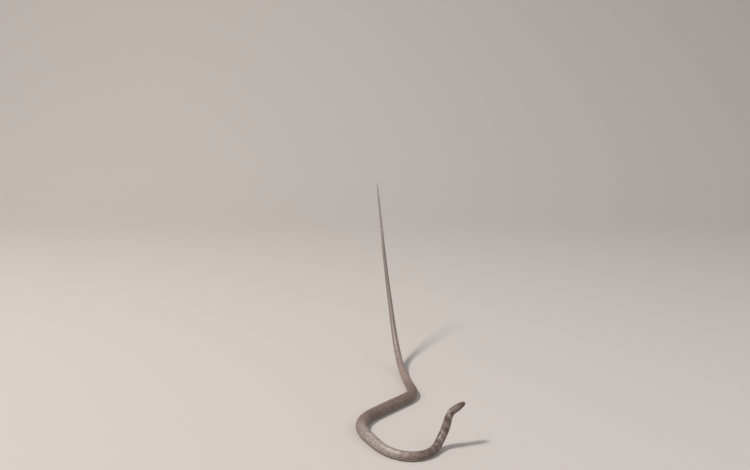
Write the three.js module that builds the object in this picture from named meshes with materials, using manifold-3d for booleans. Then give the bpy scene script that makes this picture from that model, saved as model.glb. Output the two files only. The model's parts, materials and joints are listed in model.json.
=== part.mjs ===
// A king cobra at life size, still: head and neck raised, belly on the floor in loops, tail lifted behind.
// Millimetres, +Z up. "along" is always the distance from the snout, measured down the middle of the body.
import * as THREE from 'three';
import { mergeVertices } from 'three/addons/utils/BufferGeometryUtils.js';
import Module from 'manifold-3d';

const wasm = await Module();
wasm.setup();

// The whole animal
const bodyLength = 2360;
const seam = 0.3;
const routeStep = 2;

// The route: each bend is its centre along the body, the span it is spread over, and its turn in degrees.
const routeStart = { along: 200, x: 223.8, y: 2743, heading: -119.6 };
const headingBends = [
  [90, 75, 9.0],
  [158, 64, 26.5],
  [302, 197, -88.2],
  [421, 174, -35.3],
  [670, 263, -67.1],
  [1038, 166, 49.2],
  [1570, 432, 1.9],
];
const pitchBends = [
  [66, 40, -46.6],
  [176, 154, 71.6],
  [1407, 486, 50.7],
  [1878, 602, 9.8],
];
const levelAt = 500;
const headEnd = 52;

// The girth: half the width in mm, then the back's and the belly's height as shares of that half width.
const halfWidths = [
  [0, 8.4], [7, 9.2], [15, 11.2], [24, 13.4], [34, 15.2], [42, 15.6], [52, 14.4], [64, 14.2], [80, 15.2],
  [112, 17.8], [150, 16.8], [200, 16.2], [330, 17.2], [440, 18.6], [520, 20.6], [620, 22.2], [800, 22.9],
  [960, 22.8], [1060, 21.8], [1130, 19.4], [1220, 17.4], [1300, 16.5], [1450, 14.4], [1600, 12.1],
  [1800, 9.6], [2000, 7.4], [2120, 5.9], [2240, 4.2], [2320, 2.5], [2360, 0.6],
];
const backShares = [
  [0, 0.55], [7, 0.67], [15, 0.75], [24, 0.73], [34, 0.7], [42, 0.71], [52, 0.82], [64, 0.89],
  [80, 0.86], [112, 0.75], [150, 0.85], [200, 0.95], [260, 0.98], [2360, 0.98],
];
const bellyShares = [
  [0, 0.62], [7, 0.76], [15, 0.75], [24, 0.7], [34, 0.68], [42, 0.7], [52, 0.83], [64, 0.9],
  [80, 0.86], [112, 0.74], [150, 0.81], [200, 0.88], [260, 0.9], [2360, 0.9],
];
const noseLength = 7;

// The belly's round is this much deeper than the flat that ends it.
const bellyFlat = 1.06;
const backRoundness = [[0, 2.3], [15, 2.5], [40, 2.3], [60, 2.05], [2360, 2]];
const bellyRoundness = [[0, 2.2], [60, 2.3], [2360, 2.3]];

// The lengths that the body is divided into
const lengths = [
  { name: 'neck', from: headEnd, to: 212, pitch: 11 },
  { name: 'body_1', from: 212, to: 360, pitch: 20 },
  { name: 'body_2', from: 360, to: 560, pitch: 24 },
  { name: 'body_3', from: 560, to: 800, pitch: 24 },
  { name: 'body_4', from: 800, to: 1060, pitch: 24 },
  { name: 'body_5', from: 1060, to: 1330, pitch: 24 },
  { name: 'body_6', from: 1330, to: 1600, pitch: 24 },
  { name: 'body_7', from: 1600, to: 1880, pitch: 28 },
  { name: 'tail_1', from: 1880, to: 2120, pitch: 24 },
  { name: 'tail_2', from: 2120, to: 2360, pitch: 20 },
];

// The broad belly scutes stand proud of the grooves between them.
const scuteRise = 0.6;
const scuteRiseShare = 0.15;
const scuteFaceShare = 0.9;

// The head
const headRings = [0.05, 0.4, 1, 2, 3.4, 5, 7, 9.5, 12, 15, 18, 21, 24.5, 28, 32, 36, 40, 44, 48];
const headSides = 24;
const mouthLine = [[0, -2.9], [6, -3.7], [14, -4.3], [24, -4.8], [31, -4.5], [36, -3.6]];
const mouthCorner = 36;
const eye = { along: 15.5, height: 2, radius: 2.9, sink: 2 };
const nostril = { along: 4.6, height: 0.9, radius: 1, depth: 1.4 };

// The head's shields stand out by plateRise. Those on the crown and the chin are outlined from above,
// as [along, distance from the middle line]; the left one is given, and the right one mirrors it.
const plateRise = 0.4;
const plateRoot = 1.2;
const plateGap = 0.4;
const frontal = [[13.6, 3.7], [21, 4.5], [24.7, 0], [21, -4.5], [13.6, -3.7]];
const crownShields = {
  internasal: [[3.4, 0.2], [3.8, 3], [5.2, 5.2], [7.8, 5.6], [7.8, 0.2]],
  prefrontal: [[8.2, 0.2], [8.2, 5.8], [10.4, 7.8], [12.6, 7.3], [13.3, 3.8], [13.2, 0.2]],
  supraocular: [[13, 7.6], [13.8, 4.2], [21.1, 4.9], [22.8, 7.6], [21, 10], [17, 10.9], [14, 10]],
  parietal: [[25.1, 0.2], [21.6, 4.9], [23.2, 7.8], [26, 10.2], [32, 10.6], [36.6, 8], [38.4, 0.2]],
  occipital: [[38.8, 0.2], [37.2, 8], [41, 9.6], [45.5, 8.4], [48.2, 4.4], [48.6, 0.2]],
};
const chinShields = {
  front: [[6.8, 0.3], [6.4, 3], [9, 4.6], [14.4, 4.3], [14.4, 0.3]],
  rear: [[14.8, 0.3], [14.8, 4.3], [20, 5], [24, 3.2], [24.4, 0.3]],
};

// Those on the sides are boxes: [from, to] along the head, then [lower, upper] height.
const cheekShields = {
  nasal: [[5.6, 8], [-0.4, 3.2]],
  preocular: [[8.5, 12], [0.4, 4.2]],
  lowerPostocular: [[19, 22], [-0.7, 1.7]],
  upperPostocular: [[19, 22.4], [2.1, 4.6]],
  frontLowerTemporal: [[23, 29.4], [0.2, 3.2]],
  frontUpperTemporal: [[23.4, 29.4], [3.6, 6.6]],
  rearLowerTemporal: [[29.8, 36.6], [0.8, 3.6]],
  rearUpperTemporal: [[29.8, 37.4], [4, 7]],
};
const upperLipSeams = [2.6, 6.2, 9.8, 13.4, 17.8, 22.4, 29, 36];
const lowerLipSeams = [2, 6, 10, 14, 18.4, 23.4, 29.4, 35.2];
const upperLipTop = [[0, -0.7], [10, -0.9], [16, -1.5], [24, -0.5], [36, 0.3]];
const lowerLipDepth = 2.9;
const lipEdge = 0.45;
const cheekShare = 0.92;

// Colours, from the animal
const skinColour = new THREE.Color('#76655a');
const eyeColour = new THREE.Color('#2a211a');

const degrees = THREE.MathUtils.degToRad;

// A smooth curve through a list of [along, value] pairs
function curve(stations, along) {
  const last = stations.length - 1;
  const at = Math.min(Math.max(along, stations[0][0]), stations[last][0]);
  const slope = (i) => {
    const a = stations[Math.max(i - 1, 0)];
    const b = stations[Math.min(i + 1, last)];
    return (b[1] - a[1]) / (b[0] - a[0]);
  };
  const next = Math.max(1, stations.findIndex((station) => station[0] >= at));
  const [from, to] = [stations[next - 1], stations[next]];
  const span = to[0] - from[0];
  const t = (at - from[0]) / span;
  const rise = t * t * (3 - 2 * t);
  const leave = t * (1 - t) * (1 - t) * span * slope(next - 1);
  const arrive = t * t * (t - 1) * span * slope(next);
  return from[1] + (to[1] - from[1]) * rise + leave + arrive;
}

// The route
function turned(bends, along) {
  let sum = 0;
  for (const [centre, span, turn] of bends) {
    sum += turn * THREE.MathUtils.smoothstep(along, centre - span / 2, centre + span / 2);
  }
  return sum;
}

function direction(along) {
  const turn = turned(headingBends, along) - turned(headingBends, routeStart.along);
  const heading = degrees(routeStart.heading + turn);
  const pitch = degrees(turned(pitchBends, along) - turned(pitchBends, levelAt));
  const forward = new THREE.Vector3(
    Math.cos(pitch) * Math.cos(heading),
    Math.cos(pitch) * Math.sin(heading),
    Math.sin(pitch),
  );
  const left = new THREE.Vector3(-Math.sin(heading), Math.cos(heading), 0);
  return { forward, left, up: forward.clone().cross(left) };
}

function walkRoute() {
  const points = [new THREE.Vector3()];
  for (let along = 0; along < bodyLength; along += routeStep) {
    const stride = direction(along + routeStep / 2).forward.multiplyScalar(routeStep);
    points.push(points[points.length - 1].clone().add(stride));
  }
  const anchor = points[routeStart.along / routeStep];
  const floor = points[levelAt / routeStep];
  const shift = new THREE.Vector3(routeStart.x - anchor.x, routeStart.y - anchor.y, -floor.z);
  return points.map((point) => point.clone().add(shift));
}

const route = walkRoute();

// The cross-section
function noseShare(along) {
  const t = Math.min(along / noseLength, 1);
  return Math.sqrt(1 - (1 - t) * (1 - t));
}

function sizes(along) {
  const halfWidth = curve(halfWidths, along) * noseShare(along);
  return {
    halfWidth,
    back: halfWidth * curve(backShares, along),
    belly: halfWidth * curve(bellyShares, along),
    bellyRound: halfWidth * curve(bellyShares, along) * bellyFlat,
    backPower: curve(backRoundness, along),
    bellyPower: curve(bellyRoundness, along),
  };
}

// A point of the surface at an angle from the left side, over the back, in the section's own plane
function sectionPoint(along, angle) {
  const size = sizes(along);
  const power = Math.sin(angle) >= 0 ? size.backPower : size.bellyPower;
  const across = Math.sign(Math.cos(angle)) * Math.abs(Math.cos(angle)) ** (2 / power);
  const upward = Math.abs(Math.sin(angle)) ** (2 / power);
  const height = Math.sin(angle) >= 0 ? size.back * upward : -Math.min(size.belly, size.bellyRound * upward);
  return [size.halfWidth * across, height];
}

// Puts a point of a section, x to the left and z up, at its place along the route
function place(along, x, z) {
  const step = Math.min(Math.floor(along / routeStep), route.length - 2);
  const share = along / routeStep - step;
  const { left, up } = direction(along);
  const held = Math.max(along, headEnd);
  const bellyHeight = curve(halfWidths, held) * curve(bellyShares, held);
  const middle = route[step].clone().lerp(route[step + 1], share);
  middle.z += bellyHeight;
  return middle.addScaledVector(left, x).addScaledVector(up, z);
}

// Turns the faces of a closed mesh outwards
function facingOut(geometry) {
  const corners = [0, 1, 2].map(() => new THREE.Vector3());
  const position = geometry.getAttribute('position');
  const index = geometry.index.array;
  let volume = 0;
  for (let i = 0; i < index.length; i += 3) {
    corners.forEach((corner, k) => corner.fromBufferAttribute(position, index[i + k]));
    volume += corners[0].dot(corners[1].clone().cross(corners[2]));
  }
  if (volume < 0) index.reverse();
  return geometry;
}

// Reshapes a closed cylinder. where(ring, side) gives each point, with no side at the middle of an end.
function reshape(sides, rings, where) {
  const geometry = new THREE.CylinderGeometry(1, 1, 1, sides, rings - 1);
  geometry.deleteAttribute('normal');
  geometry.deleteAttribute('uv');
  const position = geometry.getAttribute('position');
  const point = new THREE.Vector3();
  for (let i = 0; i < position.count; i++) {
    point.fromBufferAttribute(position, i);
    const ring = Math.round((0.5 - point.y) * (rings - 1));
    const turn = Math.atan2(point.x, point.z) / (2 * Math.PI);
    const side = Math.hypot(point.x, point.z) > 0.5 ? Math.round((turn + 1) * sides) % sides : null;
    position.setXYZ(i, ...where(ring, side).toArray());
  }
  return facingOut(mergeVertices(geometry, 1e-3));
}

// The angles of a section: an even round over the back, then down each side to the edges of the flat belly
const bellyEdge = 70;
const slimFrom = 1600;
const stoutSides = [8, 3];
const slimSides = [6, 2];

function sectionAngles(backSides, bellySides) {
  const angles = [];
  for (let i = 0; i <= backSides; i++) angles.push((180 * i) / backSides);
  for (let i = 1; i <= bellySides; i++) angles.push(180 + (bellyEdge * i) / bellySides);
  for (let i = 0; i < bellySides; i++) angles.push(360 - bellyEdge + (bellyEdge * i) / bellySides);
  return angles.map(degrees);
}

// Rings are [along, how deep the belly is drawn in there].
function loft(rings, angles) {
  return reshape(angles.length, rings.length, (ring, side) => {
    const [along, drawnIn] = rings[ring];
    if (side === null) return place(along, 0, 0);
    const [x, z] = sectionPoint(along, angles[side]);
    const share = z < 0 ? 1 - drawnIn / Math.hypot(x, z) : 1;
    return place(along, x * share, z * share);
  });
}

// One length of the body: a scute's two edges, a groove, and the next scute
function bodyLengthSolid({ from, to, pitch }) {
  const start = from + seam / 2;
  const end = to === bodyLength ? to : to - seam / 2;
  const count = Math.round((end - start) / pitch);
  const step = (end - start) / count;
  const rings = [];
  for (let i = 0; i < count; i++) {
    const scute = start + step * i;
    rings.push([scute, 0]);
    if (i === count - 1) continue;
    const groove = Math.min(scuteRise, scuteRiseShare * curve(halfWidths, scute));
    rings.push([scute + step * scuteFaceShare, 0]);
    rings.push([scute + step * (1 + scuteFaceShare) / 2, groove]);
  }
  rings.push([end, 0]);
  return loft(rings, sectionAngles(...(from < slimFrom ? stoutSides : slimSides)));
}

// Joins and cuts
function toSolid(geometry) {
  return new wasm.Manifold(new wasm.Mesh({
    numProp: 3,
    vertProperties: Float32Array.from(geometry.getAttribute('position').array),
    triVerts: Uint32Array.from(geometry.index.array),
  }));
}

function toGeometry(solid) {
  const largest = solid.decompose().sort((a, b) => b.volume() - a.volume())[0];
  const mesh = largest.getMesh();
  const geometry = new THREE.BufferGeometry();
  geometry.setAttribute('position', new THREE.BufferAttribute(mesh.vertProperties, 3));
  geometry.setIndex(new THREE.BufferAttribute(mesh.triVerts, 1));
  return geometry;
}

// Everything below the line of the mouth and in front of its corner, with the cut's face shifted by a gap
function mouthCutter(gap) {
  const reach = 40;
  const steps = 12;
  const front = -5;
  const corner = mouthCorner - gap;
  const alongs = Array.from({ length: steps + 1 }, (_, i) => front + ((corner - front) * i) / steps);
  const corners = [[reach, 0], [-reach, 0], [-reach, reach], [reach, reach]];
  return reshape(4, alongs.length, (ring, side) => {
    const along = alongs[ring];
    const top = curve(mouthLine, along) - gap;
    const x = side === null ? 0 : corners[side][0];
    const height = top - (side === null ? reach / 2 : corners[side][1]);
    const { forward, left, up } = direction(0);
    const snout = place(0, 0, 0);
    return snout.addScaledVector(forward, along).addScaledVector(left, x).addScaledVector(up, height);
  });
}

function roundAt(along, height, radius, inward) {
  return [1, -1].map((side) => {
    const size = sizes(along);
    const share = (Math.abs(height) / size.back) ** size.backPower;
    const surface = size.halfWidth * (1 - share) ** (1 / size.backPower);
    return { centre: place(along, side * (surface - inward), height), radius };
  });
}

const ballSides = [16, 10];
function ball({ centre, radius }, extra) {
  const geometry = new THREE.SphereGeometry(radius + extra, ...ballSides);
  geometry.deleteAttribute('normal');
  geometry.deleteAttribute('uv');
  geometry.translate(centre.x, centre.y, centre.z);
  return mergeVertices(geometry, 1e-3);
}

// The head's own surface, and its direction outwards, at a distance from the middle or at a height
function outward(size, x, z) {
  const [depth, power] = z > 0 ? [size.back, size.backPower] : [size.bellyRound, size.bellyPower];
  const sideways = Math.sign(x) * Math.abs(x / size.halfWidth) ** (power - 1) / size.halfWidth;
  const upwards = Math.sign(z) * Math.abs(z / depth) ** (power - 1) / depth;
  const length = Math.hypot(sideways, upwards);
  return [sideways / length, upwards / length];
}

function fromAbove(along, x) {
  const size = sizes(along);
  const share = (Math.abs(x) / size.halfWidth) ** size.backPower;
  const z = size.back * (1 - share) ** (1 / size.backPower);
  return { x, z, normal: outward(size, x, z) };
}

function fromBelow(along, x) {
  const size = sizes(along);
  const share = (Math.abs(x) / size.halfWidth) ** size.bellyPower;
  const z = -Math.min(size.belly, size.bellyRound * (1 - share) ** (1 / size.bellyPower));
  return { x, z, normal: [0, -1] };
}

function fromLeft(along, height) {
  const size = sizes(along);
  const [depth, power] = height > 0 ? [size.back, size.backPower] : [size.bellyRound, size.bellyPower];
  const z = THREE.MathUtils.clamp(height, -cheekShare * depth, cheekShare * depth);
  const x = size.halfWidth * (1 - (Math.abs(z) / depth) ** power) ** (1 / power);
  return { x, z, normal: outward(size, x, z) };
}

// One raised shield: its outline on the surface, lifted outside and rooted inside
function shield(outline, surface, flip) {
  const mean = [0, 1].map((i) => outline.reduce((sum, corner) => sum + corner[i], 0) / outline.length);
  return reshape(outline.length, 2, (ring, side) => {
    const [along, value] = side === null ? mean : outline[side];
    const { x, z, normal } = surface(along, value);
    const lift = ring === 0 ? plateRise : -plateRoot;
    return place(along, flip * (x + lift * normal[0]), z + lift * normal[1]);
  });
}

// The shields along both lips follow the line of the mouth.
function lipOutlines() {
  const outlines = [];
  const strip = (seams, near, far) => {
    for (let i = 1; i < seams.length; i++) {
      const [from, to] = [seams[i - 1] + plateGap / 2, seams[i] - plateGap / 2];
      outlines.push([[from, near(from)], [to, near(to)], [to, far(to)], [from, far(from)]]);
    }
  };
  const mouth = (along) => curve(mouthLine, along);
  strip(upperLipSeams, (along) => mouth(along) + lipEdge, (along) => curve(upperLipTop, along));
  strip(lowerLipSeams, (along) => mouth(along) - lipEdge, (along) => mouth(along) - lipEdge - lowerLipDepth);
  return outlines;
}

function headShields() {
  const shields = [shield(frontal, fromAbove, 1)];
  const pair = (outline, surface) => {
    for (const flip of [1, -1]) shields.push(shield(outline, surface, flip));
  };
  for (const outline of Object.values(crownShields)) pair(outline, fromAbove);
  for (const outline of Object.values(chinShields)) pair(outline, fromBelow);
  for (const outline of lipOutlines()) pair(outline, fromLeft);
  for (const [[from, to], [low, high]] of Object.values(cheekShields)) {
    pair([[from, low], [to, low], [to, high], [from, high]], fromLeft);
  }
  return shields;
}

const eyes = roundAt(eye.along, eye.height, eye.radius, eye.sink);
const nostrils = roundAt(nostril.along, nostril.height, nostril.radius, nostril.radius - nostril.depth / 2);

function headSolids() {
  const rings = [...headRings, headEnd - seam / 2].map((along) => [along, 0]);
  const angles = Array.from({ length: headSides }, (_, i) => (2 * Math.PI * i) / headSides);
  const whole = wasm.Manifold.union([loft(rings, angles), ...headShields()].map(toSolid));
  let upper = whole.subtract(toSolid(mouthCutter(-seam / 2)));
  for (const socket of eyes) upper = upper.subtract(toSolid(ball(socket, seam)));
  for (const hole of nostrils) upper = upper.subtract(toSolid(ball(hole, 0)));
  const lower = whole.intersect(toSolid(mouthCutter(seam / 2)));
  return { head: toGeometry(upper), lower_jaw: toGeometry(lower) };
}

// The scene graph
const pose = new THREE.Group();

function addMesh(name, geometry, color, roughness) {
  const mesh = new THREE.Mesh(geometry, new THREE.MeshStandardMaterial({ color, roughness, metalness: 0 }));
  mesh.name = name;
  pose.add(mesh);
  return mesh;
}

for (const [name, geometry] of Object.entries(headSolids())) addMesh(name, geometry, skinColour, 0.45);
for (const [i, name] of ['eye_left', 'eye_right'].entries()) {
  const mesh = addMesh(name, ball({ centre: new THREE.Vector3(), radius: eye.radius }, 0), eyeColour, 0.1);
  mesh.position.copy(eyes[i].centre);
}
for (const length of lengths) addMesh(length.name, bodyLengthSolid(length), skinColour, 0.45);

// The origin is on the floor, under the middle of the whole animal
const box = new THREE.Box3().setFromObject(pose, true);
const middle = box.getCenter(new THREE.Vector3());
pose.position.set(-middle.x, -middle.y, -box.min.z);

const cobra = new THREE.Group();
cobra.add(pose);

export default cobra;
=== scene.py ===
# %% [markdown]
# A king cobra, as a museum shows one: a still, life-size model in one pose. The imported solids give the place
# and the size of every part, and this script builds the looks around them: one skin from snout to tail,
# every scale as its own small solid, the head's shields, and the eyes. Sizes on the animal are in
# millimetres, and angles in degrees, until place() turns them into the scene's metres. Left is left on the
# way from head to tail.

# %% The frame
import json
import math

import bpy
import numpy as np
from mathutils import Matrix, Vector
from mathutils.geometry import delaunay_2d_cdt

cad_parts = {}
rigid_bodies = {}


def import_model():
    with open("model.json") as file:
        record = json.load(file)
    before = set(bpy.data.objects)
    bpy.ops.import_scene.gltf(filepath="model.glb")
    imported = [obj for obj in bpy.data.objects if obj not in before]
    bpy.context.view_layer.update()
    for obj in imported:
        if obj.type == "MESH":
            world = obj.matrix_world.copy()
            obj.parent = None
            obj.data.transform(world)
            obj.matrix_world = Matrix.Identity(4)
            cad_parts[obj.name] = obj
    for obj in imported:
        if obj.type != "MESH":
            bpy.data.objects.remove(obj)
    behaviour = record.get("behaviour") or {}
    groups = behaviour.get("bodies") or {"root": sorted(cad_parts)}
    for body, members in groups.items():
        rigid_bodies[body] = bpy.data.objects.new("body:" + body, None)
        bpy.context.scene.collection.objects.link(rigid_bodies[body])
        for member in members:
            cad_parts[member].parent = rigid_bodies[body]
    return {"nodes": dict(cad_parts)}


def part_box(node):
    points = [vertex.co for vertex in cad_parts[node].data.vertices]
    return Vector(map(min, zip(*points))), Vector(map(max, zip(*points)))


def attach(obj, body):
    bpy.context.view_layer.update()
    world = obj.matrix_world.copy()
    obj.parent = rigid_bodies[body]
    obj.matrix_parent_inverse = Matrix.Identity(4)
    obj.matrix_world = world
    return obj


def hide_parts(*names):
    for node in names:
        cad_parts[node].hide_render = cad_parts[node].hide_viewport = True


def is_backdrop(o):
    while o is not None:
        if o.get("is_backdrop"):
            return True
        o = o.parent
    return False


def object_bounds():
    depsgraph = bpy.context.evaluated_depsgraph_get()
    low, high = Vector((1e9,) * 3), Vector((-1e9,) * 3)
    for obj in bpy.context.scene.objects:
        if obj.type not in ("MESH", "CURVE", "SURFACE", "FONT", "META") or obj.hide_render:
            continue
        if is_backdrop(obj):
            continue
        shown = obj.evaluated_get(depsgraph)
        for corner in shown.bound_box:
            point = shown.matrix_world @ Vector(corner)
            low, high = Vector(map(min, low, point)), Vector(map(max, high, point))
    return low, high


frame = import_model()
cad_box = [list(corner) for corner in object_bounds()]
MM = 0.001
print("solids:", len(frame["nodes"]), "box", cad_box)

# %% [markdown]
# A snake's line has no corner anywhere: every bend eases in and out over the muscles that make it. The line
# could be drawn by eye as a Bezier curve, but then no bend could be measured or repeated. Here it is a list
# of bends, each with its centre and its span in mm and its turn in degrees. Headings turn the route on the
# floor and pitches lift it. The solids follow the same list, so skin and solids agree.

# %% The route
BODY_LENGTH = 2360
ROUTE_STEP = 2
ROUTE_START = {"along": 200, "heading": -119.6}
LEVEL_AT = 500
HEADING_BENDS = [
    (90, 75, 9.0), (158, 64, 26.5), (302, 197, -88.2), (421, 174, -35.3),
    (670, 263, -67.1), (1038, 166, 49.2), (1570, 432, 1.9),
]
PITCH_BENDS = [(66, 40, -46.6), (176, 154, 71.6), (1407, 486, 50.7), (1878, 602, 9.8)]


def ease(t):
    """From 0 to 1 with a soft start and a soft end"""
    t = np.clip(t, 0, 1)
    return t * t * (3 - 2 * t)


def turned(bends, along):
    """How far the route has turned, in degrees, at each distance from the snout"""
    return sum(turn * ease((along - centre) / span + 0.5) for centre, span, turn in bends)


def directions(along):
    """The way to the tail, the way left of it and the way up, at each distance from the snout"""
    along = np.asarray(along, float)
    turn = turned(HEADING_BENDS, along) - turned(HEADING_BENDS, ROUTE_START["along"])
    heading = np.radians(ROUTE_START["heading"] + turn)
    pitch = np.radians(turned(PITCH_BENDS, along) - turned(PITCH_BENDS, LEVEL_AT))
    level = np.cos(pitch)
    forward = np.stack([level * np.cos(heading), level * np.sin(heading), np.sin(pitch)], -1)
    left = np.stack([-np.sin(heading), np.cos(heading), np.zeros_like(heading)], -1)
    return forward, left, np.cross(forward, left)


strides = directions(np.arange(0, BODY_LENGTH, ROUTE_STEP) + ROUTE_STEP / 2)[0] * ROUTE_STEP
route = np.vstack([np.zeros(3), np.cumsum(strides, axis=0)])
route[:, 2] -= route[LEVEL_AT // ROUTE_STEP, 2]
print("route points:", len(route))

# %% [markdown]
# The girth is a list of half widths in mm at distances from the snout, with the height of the back and the
# depth of the belly as shares of them. A heavy snake settles on its belly, so its section is a rounded oval
# cut flat below. A bevelled curve has one round section all along, so here each section is worked out point
# by point: an ellipse whose power makes it fuller, which is 2 on the back and more at the snout and belly.

# %% The girth and the section
HALF_WIDTHS = [
    (0, 8.4), (7, 9.2), (15, 11.2), (24, 13.4), (34, 15.2), (42, 15.6), (52, 14.4), (64, 14.2), (80, 15.2),
    (112, 17.8), (150, 16.8), (200, 16.2), (330, 17.2), (440, 18.6), (520, 20.6), (620, 22.2), (800, 22.9),
    (960, 22.8), (1060, 21.8), (1130, 19.4), (1220, 17.4), (1300, 16.5), (1450, 14.4), (1600, 12.1),
    (1800, 9.6), (2000, 7.4), (2120, 5.9), (2240, 4.2), (2320, 2.5), (2360, 0.6),
]
BACK_SHARES = [
    (0, 0.55), (7, 0.67), (15, 0.75), (24, 0.73), (34, 0.7), (42, 0.71), (52, 0.82), (64, 0.89),
    (80, 0.86), (112, 0.75), (150, 0.85), (200, 0.95), (260, 0.98), (2360, 0.98),
]
BELLY_SHARES = [
    (0, 0.62), (7, 0.76), (15, 0.75), (24, 0.7), (34, 0.68), (42, 0.7), (52, 0.83), (64, 0.9),
    (80, 0.86), (112, 0.74), (150, 0.81), (200, 0.88), (260, 0.9), (2360, 0.9),
]
BACK_ROUNDNESS = [(0, 2.3), (15, 2.5), (40, 2.3), (60, 2.05), (2360, 2)]
BELLY_ROUNDNESS = [(0, 2.2), (60, 2.3), (2360, 2.3)]
NOSE_LENGTH = 7
BELLY_FLAT = 1.06


def curve(stations, along):
    """A smooth curve through (along, value) pairs"""
    x, y = np.array(stations, float).T
    at = np.clip(along, x[0], x[-1])
    spot = np.arange(len(x))
    before = np.maximum(spot - 1, 0)
    after = np.minimum(spot + 1, len(x) - 1)
    slope = (y[after] - y[before]) / (x[after] - x[before])
    end = np.clip(np.searchsorted(x, at), 1, len(x) - 1)
    start = end - 1
    span = x[end] - x[start]
    t = (at - x[start]) / span
    rise = y[start] + (y[end] - y[start]) * t * t * (3 - 2 * t)
    return rise + t * (1 - t) ** 2 * span * slope[start] + t * t * (t - 1) * span * slope[end]


def sizes(along):
    """Half width, back height, belly depth, and the powers of the back's and the belly's round"""
    nose = np.sqrt(1 - (1 - np.minimum(np.asarray(along, float) / NOSE_LENGTH, 1)) ** 2)
    half = curve(HALF_WIDTHS, along) * nose
    back = half * curve(BACK_SHARES, along)
    belly = half * curve(BELLY_SHARES, along)
    return half, back, belly, curve(BACK_ROUNDNESS, along), curve(BELLY_ROUNDNESS, along)


def section(along, angle):
    """A point of the section at an angle in degrees from the left side, over the back"""
    half, back, belly, back_power, belly_power = sizes(along)
    cosine, sine = np.cos(np.radians(angle)), np.sin(np.radians(angle))
    power = np.where(sine >= 0, back_power, belly_power)
    across = half * np.sign(cosine) * np.abs(cosine) ** (2 / power)
    upward = np.abs(sine) ** (2 / power)
    return across, np.where(sine >= 0, back * upward, -np.minimum(belly, belly * BELLY_FLAT * upward))


print("half width at the widest, mm:", round(float(curve(HALF_WIDTHS, np.arange(BODY_LENGTH)).max()), 1))

# %% [markdown]
# place() is the one way from a section to the scene, so that skin, scales, shields and eyes all meet. The
# solids stand with their box centred on the origin, so the shift between the route and the frame is read
# from one solid, the left eye.

# %% From a section to the scene
HEAD_END = 52
EYE = {"along": 15.5, "height": 2, "sink": 2}
shift = np.zeros(3)


def place(along, x, z):
    """Points in metres for a distance from the snout, and a place in the section in mm"""
    along = np.asarray(along, float)
    step = np.clip((along // ROUTE_STEP).astype(int), 0, len(route) - 2)
    share = (along / ROUTE_STEP - step)[..., None]
    middle = route[step] * (1 - share) + route[step + 1] * share
    held = np.maximum(along, HEAD_END)
    rest = curve(HALF_WIDTHS, held) * curve(BELLY_SHARES, held)
    forward, left, up = directions(along)
    lifted = middle + np.stack([np.zeros_like(rest), np.zeros_like(rest), rest], -1)
    return (lifted + left * np.asarray(x)[..., None] + up * np.asarray(z)[..., None] + shift) * MM


def eye_centre(side):
    """The middle of the solid eye, in metres"""
    half, back, _, power, _ = sizes(EYE["along"])
    surface = half * (1 - (EYE["height"] / back) ** power) ** (1 / power)
    return place(EYE["along"], side * (surface - EYE["sink"]), EYE["height"])


low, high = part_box("eye_left")
shift = (np.array(low) + np.array(high)) / 2 / MM - eye_centre(1) / MM
print("shift from route to frame, mm:", shift.round(2))

# %% [markdown]
# The camera stands 1.3 m up and a good 2.7 m in front of the raised neck, tilted eleven degrees down. The
# route was measured on the floor from that same spot, so the snake falls into its place in the frame. The
# focal length was measured in pixels, and a lens in mm is the same share of the sensor's width.

# %% Camera
CAMERA_HEIGHT = 1300
CAMERA_TILT = 10.65
CAMERA_ROLL = 0.23
FOCAL_PIXELS = 823
PHOTO_WIDTH = 750
SENSOR = 36
ROUTE_PLAN = (223.8, 2743)

anchor = route[ROUTE_START["along"] // ROUTE_STEP]
camera_data = bpy.data.cameras.new("camera")
camera_data.sensor_width = SENSOR
camera_data.lens = SENSOR * FOCAL_PIXELS / PHOTO_WIDTH
camera = bpy.data.objects.new("camera", camera_data)
bpy.context.collection.objects.link(camera)
camera.location = (shift + [anchor[0] - ROUTE_PLAN[0], anchor[1] - ROUTE_PLAN[1], CAMERA_HEIGHT]) * MM
tilt = Matrix.Rotation(math.radians(90 - CAMERA_TILT), 3, "X")
camera.rotation_euler = (tilt @ Matrix.Rotation(math.radians(CAMERA_ROLL), 3, "Z")).to_euler()
bpy.context.scene.camera = camera
print("camera:", [round(value, 3) for value in camera.location], "lens", round(camera_data.lens, 2))

# %% [markdown]
# Colours are given as they look on a screen, in sRGB hex, and one function turns them to the linear values
# that light works with. One more function adds a node with its settings and its links, in order or by name,
# so that every tree below reads the same way.

# %% Colours and nodes


def linear(hex_colour):
    """An sRGB hex colour as linear red, green, blue and alpha"""
    values = [int(hex_colour[i : i + 2], 16) / 255 for i in (1, 3, 5)]
    return np.array([v / 12.92 if v <= 0.04045 else ((v + 0.055) / 1.055) ** 2.4 for v in values] + [1])


def add_node(tree, kind, inputs=(), out=0, **settings):
    """Adds a node, sets its properties, fills its inputs with links or values, and returns one output"""
    node = tree.nodes.new(kind)
    for key, value in settings.items():
        setattr(node, key, value)
    sockets = [socket for socket in node.inputs if socket.enabled]
    for key, value in inputs.items() if isinstance(inputs, dict) else enumerate(inputs):
        socket = node.inputs[key] if isinstance(key, str) else sockets[key]
        if isinstance(value, bpy.types.NodeSocket):
            tree.links.new(value, socket)
        elif value is not None:
            socket.default_value = value
    outputs = [socket for socket in node.outputs if socket.enabled]
    return outputs[out] if outputs else node


def new_material(name):
    """A material without nodes, and its tree"""
    material = bpy.data.materials.new(name)
    material.use_nodes = True
    material.node_tree.nodes.clear()
    return material, material.node_tree


print("middle grey on a screen, linear:", linear("#808080").round(3))

# %% [markdown]
# A studio sweep is painted board that curves up into a wall far behind the model, so that no edge shows. A
# floor plane and a wall would show their corner, so here it is one strip of panels, in metres. Its paint is
# matt, so it has no highlight, only an even pale tone. A roller leaves a grain about 2 mm wide. That is too
# fine to show from here, so it is drawn 6 mm wide, and very shallow.

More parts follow.
